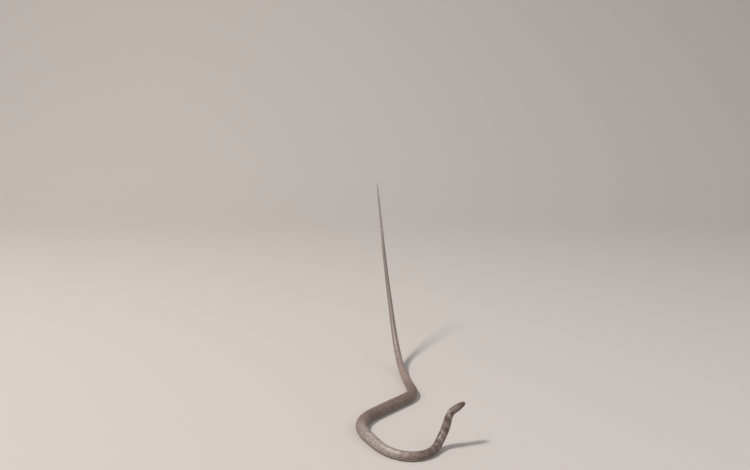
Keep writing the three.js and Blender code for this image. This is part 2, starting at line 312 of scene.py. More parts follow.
# %% The backdrop
FLOOR_COLOUR = "#bdb6b1"
MATT_PAINT = 0.85
ROLLER_GRAIN = 6
ROLLER_RELIEF = 0.5
SWEEP_FRONT = -4.5
SWEEP_BACK = 7
SWEEP_HEIGHT = 6
SWEEP_ROUND = 3
SWEEP_HALF_WIDTH = 10

floor_material, tree = new_material("matt_painted_backdrop")
on_stage = add_node(tree, "ShaderNodeTexCoord", out=3)
grain = add_node(
    tree, "ShaderNodeTexNoise", {"Vector": on_stage, "Scale": 1 / (ROLLER_GRAIN * MM), "Detail": 4.0}
)
bump = add_node(
    tree, "ShaderNodeBump", {"Strength": 0.05, "Distance": ROLLER_RELIEF * MM, "Height": grain}
)
paint = add_node(
    tree, "ShaderNodeBsdfPrincipled",
    {"Base Color": linear(FLOOR_COLOUR), "Roughness": MATT_PAINT, "Normal": bump},
)
add_node(tree, "ShaderNodeOutputMaterial", {"Surface": paint})

profile = [(SWEEP_FRONT, 0), (SWEEP_BACK - SWEEP_ROUND, 0)]
for turn in np.radians(np.arange(10, 91, 10)):
    across = SWEEP_BACK - SWEEP_ROUND + SWEEP_ROUND * math.sin(turn)
    profile.append((across, SWEEP_ROUND - SWEEP_ROUND * math.cos(turn)))
profile.append((SWEEP_BACK, SWEEP_HEIGHT))
sweep_points = [(side * SWEEP_HALF_WIDTH, y, z) for y, z in profile for side in (-1, 1)]
panels = [(2 * i, 2 * i + 1, 2 * i + 3, 2 * i + 2) for i in range(len(profile) - 1)]


def mesh_object(name, points, faces, material):
    """A smooth object at the origin, with its points already in place"""
    mesh = bpy.data.meshes.new(name)
    mesh.from_pydata(np.asarray(points, float).tolist(), [], faces)
    mesh.shade_smooth()
    mesh.materials.append(material)
    piece = bpy.data.objects.new(name, mesh)
    bpy.context.collection.objects.link(piece)
    return piece


sweep = mesh_object("backdrop", sweep_points, panels, floor_material)
sweep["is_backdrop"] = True
print("backdrop:", len(panels), "panels")

# %% [markdown]
# The key light is warm and stands high on the left of the frame, so one shadow falls to the right. A sun lamp
# would cut that shadow hard. A disk has a size, and the size softens the shadow's edge. A weak cool fill and
# a pale world keep the shaded flank readable. Places and sizes are in metres, powers in watts.

# %% The lights
WORLD_TONE = "#f0f2f6"
WORLD_STRENGTH = 0.56


def add_area_light(name, location, size, power, colour):
    """A disk of light that faces the model"""
    data = bpy.data.lights.new(name, "AREA")
    data.shape = "DISK"
    data.size = size
    data.energy = power
    data.color = linear(colour)[:3]
    light = bpy.data.objects.new(name, data)
    light.location = location
    light.rotation_euler = (-Vector(location)).to_track_quat("-Z", "Y").to_euler()
    bpy.context.collection.objects.link(light)


add_area_light("key", (-4.7, -1.3, 8.3), 1.6, 740, "#fffaf4")
add_area_light("fill", (3.4, -2.8, 2.4), 3.0, 35, "#e9f0ff")
world = bpy.data.worlds.new("studio")
world.use_nodes = True
world.node_tree.nodes["Background"].inputs["Color"].default_value = linear(WORLD_TONE)
world.node_tree.nodes["Background"].inputs["Strength"].default_value = WORLD_STRENGTH
bpy.context.scene.world = world
bpy.context.scene.view_settings.view_transform = "Standard"
print("lights:", [light.name for light in bpy.data.lights])

# %% [markdown]
# Above, this snake is brown-grey, and below it is cream-grey. Faint pale bars that point forward cross the
# neck, with dark blotches between them, and both all but fade along the body. A picture could be wrapped
# round the body, but it would blur on the scales and could disagree with the skin between them. So the
# markings are a rule: a colour for a distance from the snout and a place round the body, which every piece
# asks for its own points. This cell holds the tones along the spine, with the strength of each marking.

# %% Tones and strengths along the body
BACK_TONES = [
    (0, "#4b3a33"), (18, "#54413a"), (42, "#745f59"), (100, "#826e67"), (150, "#7b685d"), (200, "#6c5a50"),
    (285, "#6c594e"), (330, "#917c71"), (385, "#a3958d"), (520, "#9b9088"), (600, "#8c7d76"),
    (680, "#80695f"), (735, "#6d5b53"), (820, "#7b665c"), (960, "#755f52"), (1100, "#776354"),
    (1210, "#917c72"), (1500, "#897974"), (1680, "#86776e"), (1830, "#7a6e67"), (1960, "#7d736d"),
    (2110, "#958b86"), (2360, "#978e87"),
]
BELLY_TONE = "#b3a893"
CHEVRON_TONE = "#bdb2a4"
BLOTCH_TONE = "#4c3c35"
CHEVRON_STRENGTH = [(50, 0), (62, 0.5), (210, 0.45), (300, 0.12), (560, 0.06), (1900, 0.03)]
BLOTCH_STRENGTH = [(40, 0), (60, 0.8), (215, 0.7), (300, 0.2), (700, 0.22), (1060, 0.3), (1400, 0.15)]
DARK_FLANK = [
    (230, 0), (300, -0.45), (340, -0.5), (400, -0.35), (480, -0.15), (600, 0), (740, 0.16), (960, 0.22),
    (1100, 0.12), (1200, 0),
]


def blend(a, b, share):
    """Goes from colour a to colour b by a share"""
    return a + (b - a) * np.clip(share, 0, 1)[..., None]


def read_off(stations, at):
    """A value, or a colour, read off a list of stations"""
    spots = [station[0] for station in stations]
    if isinstance(stations[0][1], str):
        tones = np.array([linear(tone) for _, tone in stations])
        return np.stack([np.interp(at, spots, tones[:, i]) for i in range(4)], -1)
    return np.interp(at, spots, [value for _, value in stations])


print("spine at 100 mm, linear:", read_off(BACK_TONES, 100).round(3))

# %% [markdown]
# Seen from above, a pale bar is a chevron: it slopes back down each flank. Its edge wanders and breaks, as
# it does on an old skin, and so do the blotches, so both read the same soft clouds. The front loop is darker
# on its right flank, and the body behind it a little darker on its left, which the sign of a strength tells.
# Ramps are a start and a length. Those of the chevrons are shares of the pitch from one bar to the next.

# %% The markings
CLOUD_GRID = (600, 60)
CLOUD_LAYERS = [(11, 0.5, 3, 0.6), (5, 0.22, 5, 0.4)]
CHEVRON_PITCH = 33
CHEVRON_SLOPE = 17
CHEVRON_WANDER = 6
BAR_RISE, BAR_FALL, BAR_BREAKS = (0, 0.08), (0.14, 0.12), (0.32, 0.25)
BAND_RISE, BAND_FALL, BAND_SHARE = (0.3, 0.15), (0.75, 0.25), 0.45
PATCH_RISE, PATCH_SHARE = (0.4, 0.4), 0.9
FLANK_RISE = (-0.3, 0.4)
BELLY_RISE, BELLY_SHARE = (0.94, 0.26), 0.9
TAIL_RISE, TAIL_SHARE = (1500, 700), 0.35
SCALE_VARIES, CLOUD_VARIES = 0.24, 0.2


def ramp(value, start, length):
    """Eases from 0 to 1 over a length"""
    return ease((value - start) / length)


def clouds(along, around, long, wide, seed):
    """Soft patches between 0 and 1: random values on a grid over the body, eased in between"""
    grid = np.random.default_rng(seed).random(CLOUD_GRID)
    u, v = np.asarray(along, float) / long, (np.asarray(around, float) + 4) / wide
    i, j = u.astype(int), v.astype(int)
    s, t = ease(u - i), ease(v - j)
    near = grid[i, j] * (1 - t) + grid[i, j + 1] * t
    return near * (1 - s) + (grid[i + 1, j] * (1 - t) + grid[i + 1, j + 1] * t) * s


def markings(along, around, tone=0.0):
    """around is 0 on the spine, 1 at the belly's left edge and -1 at its right; tone is about -1 to 1"""
    along = np.asarray(along, float) + 0 * np.asarray(around, float)
    side = np.abs(around)
    patches = sum(share * clouds(along, around, *layer) for *layer, share in CLOUD_LAYERS)
    wander = CHEVRON_WANDER * (patches - 0.5)
    phase = ((along - CHEVRON_SLOPE * side + wander) / CHEVRON_PITCH) % 1
    band = ramp(phase, *BAND_RISE) * (1 - ramp(phase, *BAND_FALL))
    blotch = BAND_SHARE * band + PATCH_SHARE * ramp(patches, *PATCH_RISE)
    bar = ramp(phase, *BAR_RISE) * (1 - ramp(phase, *BAR_FALL)) * ramp(patches, *BAR_BREAKS)
    flank = read_off(DARK_FLANK, along)
    dark_side = np.abs(flank) * ramp(np.sign(flank) * around, *FLANK_RISE)
    under = ramp(side, *BELLY_RISE) * (BELLY_SHARE - TAIL_SHARE * ramp(along, *TAIL_RISE))
    colour = read_off(BACK_TONES, along)
    colour = blend(colour, linear(BLOTCH_TONE), blotch * read_off(BLOTCH_STRENGTH, along))
    colour = blend(colour, linear(CHEVRON_TONE), bar * read_off(CHEVRON_STRENGTH, along))
    colour = blend(colour, linear(BLOTCH_TONE), dark_side)
    colour = blend(colour, linear(BELLY_TONE), under)
    colour[..., :3] *= (1 + SCALE_VARIES * np.asarray(tone) + CLOUD_VARIES * (patches - 0.5))[..., None]
    return np.clip(colour, 0, 1)


neck = markings(np.arange(60, 200), 0)[:, 1]
print("green along the neck, darkest and palest:", neck.min().round(3), neck.max().round(3))

# %% [markdown]
# A scale is keratin, as a fingernail is: grown in layers, smooth, with a refraction of 1.55. It gives the eye
# a satin gloss in short, soft glints. A dark hem runs along each plate's edges: partly a darker free edge, and
# partly painted shade where the plates overlap. One even gloss would look like plastic, so a noise that is
# stretched along the scale draws its growth lines in tone, gloss and relief. Real growth lines are far finer
# than 0.1 mm and don't show even close up, so they are drawn 0.64 mm apart and 4.8 mm long.
# The spot of a scale runs from -0.5 to 0.5 over its width and its length, which are about 8 mm. A ramp is
# the two values of a pattern between which it takes effect.

# %% Satin keratin
MARKING, RIM, SPOT, DARK_EDGE_AND_SHADE = "marking", "rim", "spot", "hem"
KERATIN_IOR = 1.55
SCALE_SPAN = 8
GROWTH_LINE = 0.64
GROWTH_LINE_LENGTH = 4.8
GROWTH_RELIEF = 0.2
LINE_TONE = "#cabda9"
LINE_RAMP = (0.4, 0.75)
# The dark hem: a darker edge with painted shade in it, where one plate overlaps the next
DARK_EDGE_AND_SHADE_TONE = "#33271f"
DARK_EDGE_AND_SHADE_RAMP = (0.3, 0.95)
GLOSS_RAMP = (0.3, 0.8)
GLOSSIER, DULLER = 0.06, 0.08


def keratin(name, roughness, line_share):
    """Satin keratin. The rim value is 1 at a plate's edge, so a narrow ramp draws a dark hem there: a darker
    edge with painted shade
    """
    material, tree = new_material(name)
    colour = add_node(tree, "ShaderNodeAttribute", attribute_name=MARKING)
    rim = add_node(tree, "ShaderNodeAttribute", attribute_name=RIM, out=2)
    strength = add_node(tree, "ShaderNodeAttribute", attribute_name=DARK_EDGE_AND_SHADE, out=2)
    hem = add_node(tree, "ShaderNodeMapRange", (rim, *DARK_EDGE_AND_SHADE_RAMP), interpolation_type="SMOOTHSTEP")
    hem = add_node(tree, "ShaderNodeMath", (hem, strength), operation="MULTIPLY")
    colour = add_node(tree, "ShaderNodeMix", (hem, colour, linear(DARK_EDGE_AND_SHADE_TONE)), data_type="RGBA")
    spot = add_node(tree, "ShaderNodeAttribute", attribute_name=SPOT, out=1)
    across, along = SCALE_SPAN / GROWTH_LINE, SCALE_SPAN / GROWTH_LINE_LENGTH
    stretched = add_node(tree, "ShaderNodeVectorMath", (spot, (across, along, 1.0)), operation="MULTIPLY")
    lines = add_node(tree, "ShaderNodeTexNoise", {"Vector": stretched, "Scale": 1.0, "Detail": 3.0})
    pale = add_node(tree, "ShaderNodeMapRange", (lines, *LINE_RAMP, 0.0, line_share))
    colour = add_node(tree, "ShaderNodeMix", (pale, colour, linear(LINE_TONE)), data_type="RGBA")
    relief = {"Strength": 0.2, "Distance": GROWTH_RELIEF * MM, "Height": lines}
    bump = add_node(tree, "ShaderNodeBump", relief)
    glosses = (roughness - GLOSSIER, roughness + DULLER)
    gloss = add_node(tree, "ShaderNodeMapRange", (lines, *GLOSS_RAMP, *glosses))
    horn = add_node(
        tree, "ShaderNodeBsdfPrincipled",
        {"Base Color": colour, "Roughness": gloss, "IOR": KERATIN_IOR, "Normal": bump},
    )
    add_node(tree, "ShaderNodeOutputMaterial", {"Surface": horn})
    return material


# Broken satin glints, with the brown showing through.
back_keratin = keratin("satin_keratin_back_scales", 0.42, 0.09)
# A little smoother and paler, because the floor has rubbed it.
belly_keratin = keratin("satin_keratin_belly_plates", 0.4, 0.1)
# The smoothest, with a small clear glint on each shield.
head_keratin = keratin("polished_keratin_head_shields", 0.34, 0.07)
print("keratin:", [finish.name for finish in (back_keratin, belly_keratin, head_keratin)])

# %% [markdown]
# The skin between the scales is soft and stretches, so it is matt and finely creased, with hardly a glint.
# The colour it reads is darkened with painted shade, so the eye sees it as a dark net. Creases could be
# sculpted, but they are too small to tell apart, so the edges of a cell pattern are enough. Real creases are
# about 0.4 mm apart, which doesn't show even close up, so they are drawn 1.1 mm apart. Soft skin refracts a
# little less than keratin.

# %% Soft skin
SKIN_IOR = 1.45
CREASE_SIZE = 1.1
CREASE_RELIEF = 0.3

skin_between, tree = new_material("soft_skin_between_scales")
on_object = add_node(tree, "ShaderNodeTexCoord", out=3)
creases = add_node(
    tree, "ShaderNodeTexVoronoi", {"Vector": on_object, "Scale": 1 / (CREASE_SIZE * MM)},
    feature="DISTANCE_TO_EDGE",
)
colour = add_node(tree, "ShaderNodeAttribute", attribute_name=MARKING)
bump = add_node(
    tree, "ShaderNodeBump", {"Strength": 0.4, "Distance": CREASE_RELIEF * MM, "Height": creases}
)
flesh = add_node(
    tree, "ShaderNodeBsdfPrincipled",
    {"Base Color": colour, "Roughness": 0.6, "IOR": SKIN_IOR, "Normal": bump},
)
add_node(tree, "ShaderNodeOutputMaterial", {"Surface": flesh})
print("soft skin:", len(tree.nodes), "nodes")

# %% [markdown]
# A closed mouth is a fine line between the lips, and a nostril is a small pit in the side of the snout. Both
# could be cut with a Boolean, but that leaves ragged faces in a fine skin. So three columns of the skin's
# own grid follow the mouth on each side, and the middle one sinks in to part the lips. Behind the head the
# same columns turn down and run along the edge of the belly plates.

# %% The line of the mouth
MOUTH_LINE = [(0, -2.9), (6, -3.7), (14, -4.3), (24, -4.8), (31, -4.5), (36, -3.6)]
MOUTH_CORNER = 36
MOUTH_TURNS_DOWN = 20
BELLY_EDGE = 25


def mouth_angle(along):
    """How far below the side the mouth runs, in degrees, turning into the belly's edge behind it"""
    _, _, belly, _, power = sizes(along)
    share = np.clip(-curve(MOUTH_LINE, along) / (belly * BELLY_FLAT + 1e-6), 0, 0.995)
    behind = ramp(along, MOUTH_CORNER, MOUTH_TURNS_DOWN)
    return np.degrees(np.arcsin(share ** (power / 2))) * (1 - behind) + BELLY_EDGE * behind


print("mouth at 20 mm, degrees below the side:", float(mouth_angle(20).round(1)))

# %% [markdown]
# The scales have a thickness of their own, and their outside has to meet the solids. So the skin lies deeper
# than the solids' surface by the depth of the coat that covers it: thin on the snout, 1.6 mm on the thick
# body, and almost nothing at the tail tip. seat() gives any point at such a depth, for the scales as well.

# %% How deep the skin lies
COAT_DEPTHS = [
    (0, 0.5), (34, 0.6), (46, 0.95), (100, 1.25), (330, 1.6), (600, 1.5), (1600, 1), (2000, 0.7),
    (2360, 0.16),
]
DEEPEST = 0.6


def seat(along, angle, depth):
    """Points in metres at a depth in mm under the solids' surface"""
    x, z = section(along, angle)
    reach = np.maximum(np.hypot(x, z), 1e-6)
    keep = 1 - np.minimum(depth, DEEPEST * reach) / reach
    return place(np.asarray(along) + 0 * keep, x * keep, z * keep)


def around_body(angle):
    """0 on the spine, 1 at the belly's left edge, -1 at its right one"""
    return ((90 - np.asarray(angle, float) + 180) % 360 - 180) / (90 + BELLY_EDGE)


print("coat at the front loop, mm:", round(float(curve(COAT_DEPTHS, 300)), 2))

# %% [markdown]
# One skin covers the animal from snout to tail, so that no seam shows. A curve swept along the route would
# be quicker, but one profile can't follow a mouth, so the skin is a grid of rings and columns in an array.
# The rings lie close together on the nose and the head, where the forms are small, and wider on the body.

# %% Rings and columns of the skin
NOSE_RINGS = 20
NOSE_FROM, NOSE_TO = 0.03, 0.98
HEAD_RING_STEP, BODY_RING_STEP = 0.7, 3.5
FINE_BEHIND_HEAD = 30
BACK_COLUMNS, CHIN_COLUMNS = 44, 18
LIP_WIDTH = 0.3

nose_rings = NOSE_LENGTH * (1 - np.sqrt(1 - np.linspace(NOSE_FROM, NOSE_TO, NOSE_RINGS) ** 2))
head_rings = np.arange(nose_rings[-1] + 0.5, HEAD_END + FINE_BEHIND_HEAD, HEAD_RING_STEP)
body_rings = np.arange(head_rings[-1] + 3, BODY_LENGTH, BODY_RING_STEP)
rings = np.concatenate([nose_rings, head_rings, body_rings, [BODY_LENGTH]])
middle = mouth_angle(rings)[:, None]
lip = np.degrees(LIP_WIDTH / np.maximum(sizes(rings)[0], 1))[:, None]
back = -middle + lip + (180 + 2 * middle - 2 * lip) * np.linspace(0, 1, BACK_COLUMNS)
chin = 180 + middle + lip + (180 - 2 * middle - 2 * lip) * np.linspace(0, 1, CHIN_COLUMNS)
angles = np.concatenate([back, 180 + middle, chin, 360 - middle], axis=1)
column_count = angles.shape[1]
print("skin:", len(rings), "rings of", column_count, "columns")

# %% [markdown]
# Now each point of the grid gets its depth: the coat's, and more in the line of the mouth and in the
# nostrils. The line starts a little behind the snout's tip and closes at the corner. A nostril is a pit with
# a small flat floor, and only points at the side of the snout belong to it.

# %% The depth of each point
MOUTH_DEPTH = 1.3
MOUTH_OPENS, MOUTH_CLOSES = (0.9, 1.2), (MOUTH_CORNER - 3, 4)
NOSTRIL = {"along": 4.7, "height": 1.0, "radius": 0.85, "depth": 1.4, "floor": 0.35, "beside": 4}

sink = np.zeros_like(angles)
opened = ramp(rings, *MOUTH_OPENS) * (1 - ramp(rings, *MOUTH_CLOSES))
sink[:, [BACK_COLUMNS, -1]] = opened[:, None]
flat_x, flat_z = section(rings[:, None], angles)
from_nostril = np.hypot(rings[:, None] - NOSTRIL["along"], flat_z - NOSTRIL["height"]) / NOSTRIL["radius"]
pit = np.where(np.abs(flat_x) > NOSTRIL["beside"], 1 - ease(from_nostril - NOSTRIL["floor"]), 0)
depths = curve(COAT_DEPTHS, rings)[:, None] + sink * MOUTH_DEPTH + pit * NOSTRIL["depth"]
print("deepest point under the solids' surface, mm:", depths.max().round(2))

# %% [markdown]
# Four neighbouring points make a face, listed so that its front looks outwards. A tube has open ends, so one
# more point at the nose and one at the tail tip close it with a fan of triangles.

# %% The skin
skin_points = seat(rings[:, None], angles, depths).reshape(-1, 3)
ends = place(rings[[0, -1]], np.zeros(2), np.zeros(2))
nose_tip, tail_tip = len(skin_points), len(skin_points) + 1
last = (len(rings) - 1) * column_count
skin_faces = []
for near in range(0, last, column_count):
    far = near + column_count
    for column in range(column_count):
        after = (column + 1) % column_count
        skin_faces.append((near + column, near + after, far + after, far + column))
for column in range(column_count):
    after = (column + 1) % column_count
    skin_faces.append((nose_tip, after, column))
    skin_faces.append((tail_tip, last + column, last + after))
skin = mesh_object("skin", np.vstack([skin_points, ends]), skin_faces, skin_between)
print("skin:", len(skin_faces), "faces")

# %% [markdown]
# The skin has the markings of the scales on it, darkened with painted shade, because it shows only in the
# gaps between them, where shade falls. The line of the mouth and the nostrils are darker still, because
# hardly any light comes out of a narrow pit. A colour for each point is a colour attribute, which the material
# reads by its name.

# %% The colour of the skin
# Painted shade: the dark tone and the share by which the skin in the gaps between the scales is darkened
GAP_SHADE_TONE, GAP_SHADE_SHARE = "#3a2d27", 0.4
INNER_TONE = "#1a1110"

skin_colour = markings(rings[:, None], around_body(angles))
# painted shade in the gaps between the scales
skin_colour = blend(skin_colour, linear(GAP_SHADE_TONE), np.full(angles.shape, GAP_SHADE_SHARE))
skin_colour = blend(skin_colour, linear(INNER_TONE), np.maximum(sink, pit)).reshape(-1, 4)


def store(piece, name, kind, values, domain="POINT"):
    """Writes a named attribute, which a material or a tree can read"""
    key = {"FLOAT_COLOR": "color", "FLOAT_VECTOR": "vector", "FLOAT2": "vector"}.get(kind, "value")
    layer = piece.data.attributes.new(name, kind, domain)
    layer.data.foreach_set(key, np.ascontiguousarray(values, np.float32).ravel())


store(skin, MARKING, "FLOAT_COLOR", np.vstack([skin_colour, skin_colour[[0, -1]]]))
print("mean colour of the skin, linear:", skin_colour.mean(axis=0).round(3))

# %% [markdown]
# Scales and belly plates are one thing in two shapes: a thin plate, rooted at its front and free at its back
# edge. The Solidify modifier could thicken a grid of points, but it would double all its faces. The underside
# hardly shows, so here it is one straight strip from the root to the free edge. The rim value is 1 at the
# edges and on the underside, for the dark hem, which is partly painted shade. The spot is the place on the
# plate, and that of a hidden face is moved aside, so that it has room of its own on the bake map.

# %% A thin plate
HIDDEN_ASIDE = (0, 1.1, 0)
SHARP_ANGLE = 50


def plate_shape(name, top, thickness, outward):
    """A closed plate from a grid of points, root first, and the way out at each of them"""
    rows, columns = top.shape[:2]
    index = np.arange(rows * columns).reshape(rows, columns).tolist()
    root = (rows * columns + np.arange(columns)).tolist()
    free = (rows * columns + columns + np.arange(columns)).tolist()
    lower = (top - thickness * outward)[[0, -1]].reshape(-1, 3)
    seen, hidden = [], []
    for j in range(columns - 1):
        for i in range(rows - 1):
            seen.append((index[i][j], index[i][j + 1], index[i + 1][j + 1], index[i + 1][j]))
        hidden.append((index[0][j], root[j], root[j + 1], index[0][j + 1]))
        hidden.append((index[-1][j + 1], free[j + 1], free[j], index[-1][j]))
        hidden.append((root[j], free[j], free[j + 1], root[j + 1]))
    hidden.append(tuple([row[0] for row in index] + [free[0], root[0]]))
    hidden.append(tuple([row[-1] for row in index[::-1]] + [root[-1], free[-1]]))
    piece = mesh_object(name, np.vstack([top.reshape(-1, 3), lower]), seen + hidden, back_keratin)
    edge = np.zeros((rows, columns))
    edge[-1] = edge[:, 0] = edge[:, -1] = 1
    across, along = np.meshgrid(np.linspace(-0.5, 0.5, columns), np.linspace(-0.5, 0.5, rows))
    spots = np.stack([across, along, 0 * across], -1)
    spots = np.vstack([spots.reshape(-1, 3), spots[[0, -1]].reshape(-1, 3)])
    corners = [spots[list(face)] for face in seen] + [spots[list(face)] + HIDDEN_ASIDE for face in hidden]
    store(piece, RIM, "FLOAT", np.append(edge.ravel(), np.ones(2 * columns)))
    store(piece, SPOT, "FLOAT_VECTOR", np.vstack(corners), "CORNER")
    piece.data.set_sharp_from_angle(angle=math.radians(SHARP_ANGLE))
    return piece


flat_grid = np.array([[[x, y, 0.0] for x in (-1, 1)] for y in (0, 1)])
trial = plate_shape("trial", flat_grid, 0.1, np.broadcast_to([0, 0, 1.0], flat_grid.shape))
print("the simplest plate:", len(trial.data.polygons), "faces")
bpy.data.objects.remove(trial)

# %% [markdown]
# A back scale is a thin lozenge of keratin, arched a little across, with a rounded tip. Thousands of them lie
# on the animal, so one is modelled with few faces and laid many times. Its outline is given in shares: the
# way to the tip, half the width there, and the height. Its root is at the origin and its tip at y = 1.

# %% One scale
SCALE_OUTLINE = [
    (0, 0.22, 0), (0.26, 0.38, 0.034), (0.5, 0.5, 0.06), (0.68, 0.485, 0.076), (0.84, 0.36, 0.086),
    (0.95, 0.18, 0.088), (1, 0.05, 0.084),
]
SCALE_COLUMNS = 5
SCALE_ARCH = 0.065
SCALE_THICKNESS = 0.055
TIP_STARTS, TIP_ROUND = 0.9, 0.02

reach, half_widths, lifts = np.array(SCALE_OUTLINE).T
across = np.linspace(-1, 1, SCALE_COLUMNS)
x = half_widths[:, None] * across
y = reach[:, None] - TIP_ROUND * across**2 * (reach[:, None] > TIP_STARTS)
z = lifts[:, None] - SCALE_ARCH * (2 * x) ** 2
top = np.stack(np.broadcast_arrays(x, y, z), -1)
one_scale = plate_shape("one_scale", top, SCALE_THICKNESS, np.broadcast_to([0, 0, 1.0], top.shape))
print("one scale:", len(one_scale.data.polygons), "faces")

# %% [markdown]
# Scales could be placed one by one or by an Array modifier, but neither follows the way a neck turns.
# Geometry Nodes can lay one shape on thousands of places. This tree reads what each place carries: a turn,
# a size, a colour and the spot of its root on the unwrapped skin. It tilts each scale by up to two degrees
# at random from a fixed seed and makes real mesh of the copies. Then it gives every scale its own small
# patch of the bake map round its root, with the hidden faces beside the seen ones, and sets the finish.

# %% The tree that lays scales
BAKE_MAP = "OFBake"
scale_tree = bpy.data.node_groups.new("lay_scales", "GeometryNodeTree")
scale_tree.interface.new_socket("Geometry", in_out="INPUT", socket_type="NodeSocketGeometry")
scale_tree.interface.new_socket("Geometry", in_out="OUTPUT", socket_type="NodeSocketGeometry")
sockets = {
    name: scale_tree.interface.new_socket(name, in_out="INPUT", socket_type="NodeSocket" + kind).identifier
    for name, kind in (
        ("Shape", "Object"), ("Tilt spread", "Float"), ("Seed", "Int"), ("Patch size", "Float"),
        ("Finish", "Material"),
    )
}
given = add_node(scale_tree, "NodeGroupInput").node.outputs
turn = add_node(scale_tree, "GeometryNodeInputNamedAttribute", ["turn"], data_type="QUATERNION")
size = add_node(scale_tree, "GeometryNodeInputNamedAttribute", ["size"], data_type="FLOAT_VECTOR")
root = add_node(scale_tree, "GeometryNodeInputNamedAttribute", ["root"], data_type="FLOAT_VECTOR")
spot = add_node(scale_tree, "GeometryNodeInputNamedAttribute", [SPOT], data_type="FLOAT_VECTOR")
least = add_node(scale_tree, "ShaderNodeMath", (given["Tilt spread"], -1.0), operation="MULTIPLY")
tilt = add_node(scale_tree, "FunctionNodeRandomValue", (least, given["Tilt spread"], None, given["Seed"]))
tilt = add_node(scale_tree, "FunctionNodeAxisAngleToRotation", ((1, 0, 0), tilt))
turn = add_node(scale_tree, "FunctionNodeRotateRotation", (turn, tilt), rotation_space="LOCAL")
shape = add_node(scale_tree, "GeometryNodeObjectInfo", [given["Shape"]], out=4)
laid = add_node(
    scale_tree, "GeometryNodeInstanceOnPoints",
    {"Points": given["Geometry"], "Instance": shape, "Rotation": turn, "Scale": size},
)
solid = add_node(scale_tree, "GeometryNodeRealizeInstances", [laid])
patch = add_node(scale_tree, "ShaderNodeVectorMath", (spot, given["Patch size"]), operation="SCALE")
patch = add_node(scale_tree, "ShaderNodeVectorMath", (root, patch))
mapped = add_node(
    scale_tree, "GeometryNodeStoreNamedAttribute", (solid, None, BAKE_MAP, patch),
    data_type="FLOAT2", domain="CORNER",
)
finished = add_node(scale_tree, "GeometryNodeSetMaterial", (mapped, None, given["Finish"]))
add_node(scale_tree, "NodeGroupOutput", [finished])
print("tree:", len(scale_tree.nodes), "nodes, inputs", list(sockets))

# %% [markdown]
# A scale lies flat on its place, across the body and with its tip towards the tail. A curved body turns
# those three ways at every place, so each place gets a frame of its own, measured on the solids' surface
# with short steps. A belly plate wraps the body, so its frame stands on the body's middle line instead.

# %% A frame for each place
SIDE_STEP = 1.5
LAST_ROOT = BODY_LENGTH - 0.2


def on_surface(along, angle, long, depth):
    """Where a scale's root sits, the way across it and the way to its tip"""
    start = seat(along, angle, depth)
    back = seat(np.minimum(along + long, LAST_ROOT), angle, depth) - start
    return start, seat(along, angle + SIDE_STEP, depth) - seat(along, angle - SIDE_STEP, depth), back


def on_middle_line(along, long):
    """The same for a plate that wraps the belly: its root is on the body's middle line"""
    nothing = np.zeros_like(along)
    start = place(along, nothing, nothing)
    back = place(np.minimum(along + long, LAST_ROOT), nothing, nothing) - start
    return start, -directions(along)[1], back


length = np.linalg.norm(on_middle_line(np.array([300.0]), np.array([8.0]))[2])
print("a step of 8 mm along the front loop, m:", round(float(length), 5))

# %% [markdown]
# lay() makes a bed of points that carry their attributes, gives it the tree, and turns what the tree made
# into one plain mesh. The bake map is the skin of the whole animal, cut along the belly and folded into four
# strips, so that each scale's patch finds room. The dark hem, partly painted shade, is strong where the edges
# of the real scales show most, on the neck and the thick body.

# %% Laying scales on places
STRIP_LENGTH, SHEET_LENGTH = 590, 620
STRIP_MARGIN, STRIP_START, STRIP_PITCH, STRIP_WIDTH = 0.02, 0.01, 0.25, 0.23
PATCH_SIZE = 0.003
TILT_SPREAD = 0.035
# How strong the dark hem, partly painted shade, is along the body
DARK_EDGE_AND_SHADE_STRENGTH = [
    (0, 0.55), (60, 0.7), (220, 0.65), (420, 0.4), (700, 0.75), (1060, 0.85), (1300, 0.6), (2360, 0.5),
]


def unwrapped(along, angle):
    """The spot of a place on the skin unwrapped into four strips, between 0 and 1"""
    strip = np.floor(along / STRIP_LENGTH)
    u = STRIP_MARGIN + (along - strip * STRIP_LENGTH) / SHEET_LENGTH
    return u, STRIP_START + STRIP_PITCH * strip + (angle % 360 + 90) % 360 / 360 * STRIP_WIDTH


def lay(name, shape, frame_of_place, along, angle, size, tone, finish, seed, tilt=TILT_SPREAD):
    """Lays a shape on places by the tree, and returns one plain mesh object"""
    start, side, back = frame_of_place
    out = np.cross(side, back)
    side = np.cross(back, out)
    frames = np.stack([side, back, out], -1)
    frames /= np.linalg.norm(frames, axis=1, keepdims=True)
    turns = [Matrix(axes.tolist()).to_quaternion() for axes in frames]
    bed = mesh_object(name + "_places", start, [], finish)
    u, v = unwrapped(along, angle)
    store(bed, "turn", "QUATERNION", np.array(turns))
    store(bed, "size", "FLOAT_VECTOR", np.stack(size, -1) * MM)
    store(bed, "root", "FLOAT_VECTOR", np.stack([u, v, 0 * u], -1))
    store(bed, MARKING, "FLOAT_COLOR", markings(along + size[1] / 2, around_body(angle), tone))
    store(bed, DARK_EDGE_AND_SHADE, "FLOAT", read_off(DARK_EDGE_AND_SHADE_STRENGTH, along))
    modifier = bed.modifiers.new("lay", "NODES")
    modifier.node_group = scale_tree
    values = (shape, tilt, seed, PATCH_SIZE, finish)
    for socket, value in zip(sockets.values(), values):
        modifier[socket] = value
    graph = bpy.context.evaluated_depsgraph_get()
    mesh = bpy.data.meshes.new_from_object(
        bed.evaluated_get(graph), preserve_all_data_layers=True, depsgraph=graph
    )
    bpy.data.objects.remove(bed)
    mesh.name = name
    piece = bpy.data.objects.new(name, mesh)
    bpy.context.collection.objects.link(piece)
    triangles = sum(len(polygon.vertices) - 2 for polygon in mesh.polygons)
    print(name + ":", len(along), "scales,", triangles, "triangles")
    return piece


print("room between two strips of the bake map:", round(STRIP_PITCH - STRIP_WIDTH, 3))

